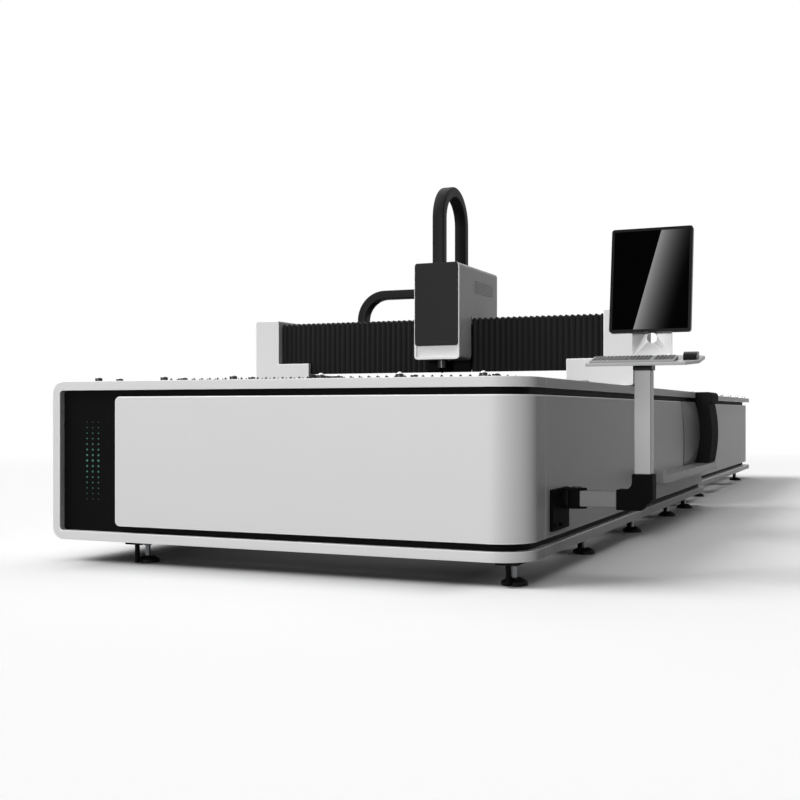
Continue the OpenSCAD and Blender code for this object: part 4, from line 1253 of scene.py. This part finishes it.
@dataclass
class RackTeeth:
    """Straight teeth along the top of the two gear racks beside the gantry's rails."""

    node: str = "gear_racks"
    pitch_mm: float = 12.57
    high_mm: float = 6.0
    foot_share: float = 0.62
    taper: tuple[float, float] = (1.0, 0.45)

    def build(self) -> Object:
        """Model one tooth, repeat it along the rack and copy the row to the other side.

        Returns:
            Both rows of teeth as one piece.
        """
        low, high = box_of(self.node)
        mesh = bpy.data.objects[self.node].data
        wide = max(v.co.x for v in mesh.vertices if v.co.x < (low.x + high.x) / 2) - low.x
        pitch, tall = self.pitch_mm * MM, self.high_mm * MM
        tooth = tapered_block(
            Vector((wide, self.foot_share * pitch, tall)),
            Vector((low.x + wide / 2, low.y + pitch / 2, high.z + tall / 2)), self.taper)
        repeat(tooth, int((high.y - low.y) / pitch), Vector((0.0, pitch, 0.0)))
        repeat(tooth, 2, Vector((high.x - low.x - wide, 0.0, 0.0)))
        tooth.name = "gear_rack_teeth"
        paint(tooth, RAIL_STEEL.material())
        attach(tooth, "bed")
        return tooth


@dataclass(frozen=True)
class Sun:
    """A far lamp: the way to it, the light it gives and its apparent width in degrees."""

    name: str
    towards: tuple[float, float, float]
    strength: float
    spread: float

    def build(self) -> None:
        """Add the lamp. A wide one has soft shadows."""
        lamp = bpy.data.lights.new(self.name, "SUN")
        lamp.energy = self.strength
        lamp.angle = math.radians(self.spread)
        holder = bpy.data.objects.new(self.name, lamp)
        holder.rotation_euler = Vector(self.towards).to_track_quat("Z", "Y").to_euler()
        bpy.context.scene.collection.objects.link(holder)


@dataclass
class Studio:
    """A white studio: a soft key from the left, a low front light, a wide top light, a pale floor.

    A painted shadow with soft edges darkens the floor under the machine, and far from it the floor fades to
    white.
    """

    suns: tuple[Sun, ...] = (
        Sun("key", (-0.7, -0.3, 0.7), 2.3, 38.0),
        Sun("front", (-0.05, -1.0, 0.055), 1.85, 9.0),
        Sun("top", (-0.1, 0.45, 1.0), 0.92, 60.0),
    )
    fill: float = 0.16
    bounce: str = "#484848"
    floor_half: float = 40.0
    floor_drop_mm: float = 0.5
    fade: tuple[float, float] = (7.0, 13.0)
    # Painted shadow: a soft dark patch in the floor's colour under the machine.
    painted_shadow: str = "#707070"
    painted_shadow_centre: tuple[float, float] = (-0.2935, 0.0)
    painted_shadow_half: tuple[float, float] = (0.95, 4.2)
    painted_shadow_soft: tuple[float, float] = (0.12, 0.4)

    def build(self) -> None:
        """Set up the lights, the backdrop and the floor."""
        for sun in self.suns:
            sun.build()
        self._world()
        self._floor()

    def _world(self) -> None:
        """Make the backdrop: white where it is seen or mirrored, a weak fill where it lights."""
        world = bpy.data.worlds.new("white_backdrop")
        bpy.context.scene.world = world
        world.use_nodes = True
        tree = world.node_tree
        tree.nodes.clear()
        path = add_node(tree, "ShaderNodeLightPath")
        strength = remap(tree, path.outputs["Is Diffuse Ray"], target=(1.0, self.fill))
        white = add_node(tree, "ShaderNodeBackground", None,
                         {"Color": linear(WHITE), "Strength": strength})
        add_node(tree, "ShaderNodeOutputWorld", None, {"Surface": white.outputs["Background"]})

    def _floor(self) -> None:
        """Lay the pale floor, which takes the machine's shadow, has a painted shadow under the machine and
        fades to white far from it.
        """
        deselect()
        bpy.ops.mesh.primitive_plane_add(size=2 * self.floor_half,
                                         location=(0.0, 0.0, -self.floor_drop_mm * MM))
        floor = bpy.context.object
        floor.name = "studio_floor"
        material = blank_material("pale_floor")
        tree = material.node_tree
        bounced = add_node(tree, "ShaderNodeLightPath").outputs["Is Diffuse Ray"]
        where = add_node(tree, "ShaderNodeTexCoord").outputs["Object"]
        # The floor's colour darkens towards the painted shadow under the machine.
        floor_with_painted_shadow = mix_colours(tree, self._painted_shadow(tree, where), linear(WHITE), linear(self.painted_shadow))
        near = add_node(tree, "ShaderNodeBsdfDiffuse", None,
                        {"Color": mix_colours(tree, bounced, floor_with_painted_shadow, linear(self.bounce))})
        away = add_node(tree, "ShaderNodeVectorMath", {"operation": "LENGTH"}, {0: where})
        fade = remap(tree, away.outputs["Value"], self.fade, curve="SMOOTHSTEP")
        share = maths(tree, "MULTIPLY", fade, maths(tree, "SUBTRACT", 1.0, bounced))
        far = add_node(tree, "ShaderNodeEmission", None, {"Color": linear(WHITE), "Strength": 1.0})
        shader = add_node(tree, "ShaderNodeMixShader", None,
                          {0: share, 1: near.outputs["BSDF"], 2: far.outputs["Emission"]})
        add_node(tree, "ShaderNodeOutputMaterial", None, {"Surface": shader.outputs["Shader"]})
        paint(floor, material)

    def _painted_shadow(self, tree: NodeTree, where: NodeSocket) -> NodeSocket:
        """Add the outline of the painted shadow that darkens the floor under the machine.

        Args:
            tree: The floor's node tree.
            where: Output socket with the floor's coordinates.

        Returns:
            Output socket that is one in the painted shadow and falls to zero across its soft edge.
        """
        split = add_node(tree, "ShaderNodeSeparateXYZ", None, {"Vector": where})
        inside = []
        for axis, middle, half, soft in zip("XY", self.painted_shadow_centre, self.painted_shadow_half, self.painted_shadow_soft):
            away = distance(tree, split.outputs[axis], middle)
            inside.append(remap(tree, away, (half - soft, half + soft), (1.0, 0.0), "SMOOTHSTEP"))
        return maths(tree, "MULTIPLY", *inside)


@dataclass(frozen=True)
class PhotoCamera:
    """The photograph's viewpoint: off the front right corner, level, just below the bed's top."""

    place: tuple[float, float, float] = (2.2245, -8.530, 0.705)
    heading: float = 23.53
    lens: float = 51.26
    sensor: float = 36.0
    shift_up: float = 0.015
    reach: float = 200.0

    def build(self) -> None:
        """Add the camera and make it the scene's own."""
        data = bpy.data.cameras.new("photo_camera")
        data.lens = self.lens
        data.sensor_width = self.sensor
        data.shift_y = self.shift_up
        data.clip_end = self.reach
        camera = bpy.data.objects.new("photo_camera", data)
        camera.location = self.place
        camera.rotation_euler = (math.pi / 2, 0.0, math.radians(self.heading))
        bpy.context.scene.collection.objects.link(camera)
        bpy.context.scene.camera = camera


def main() -> None:
    """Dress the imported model, add the pieces modelled here and set up the studio."""
    logging.basicConfig(level=logging.INFO, format="%(levelname)s %(message)s")
    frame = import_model()
    slots = {part["node"]: part["material_slot"] for part in frame["record"]["subparts"]}
    PackedPieces(frame, slots).dress()
    made = [
        BallUnits().build(),
        PleatedCover("left_bellows", head_at_high_x=True).build(),
        PleatedCover("right_bellows", head_at_high_x=False).build(),
        *BeamChain().build(),
        HeadLoop().build(),
        KeyField().build(),
        RackTeeth().build(),
        *ScrewSets().build(),
    ]
    for piece in made:
        LOG.info("%s: modelled with %d faces", piece.name, len(piece.data.polygons))
    Studio().build()
    PhotoCamera().build()
    bpy.context.scene.view_settings.view_transform = "Standard"


if __name__ == "__main__":
    main()
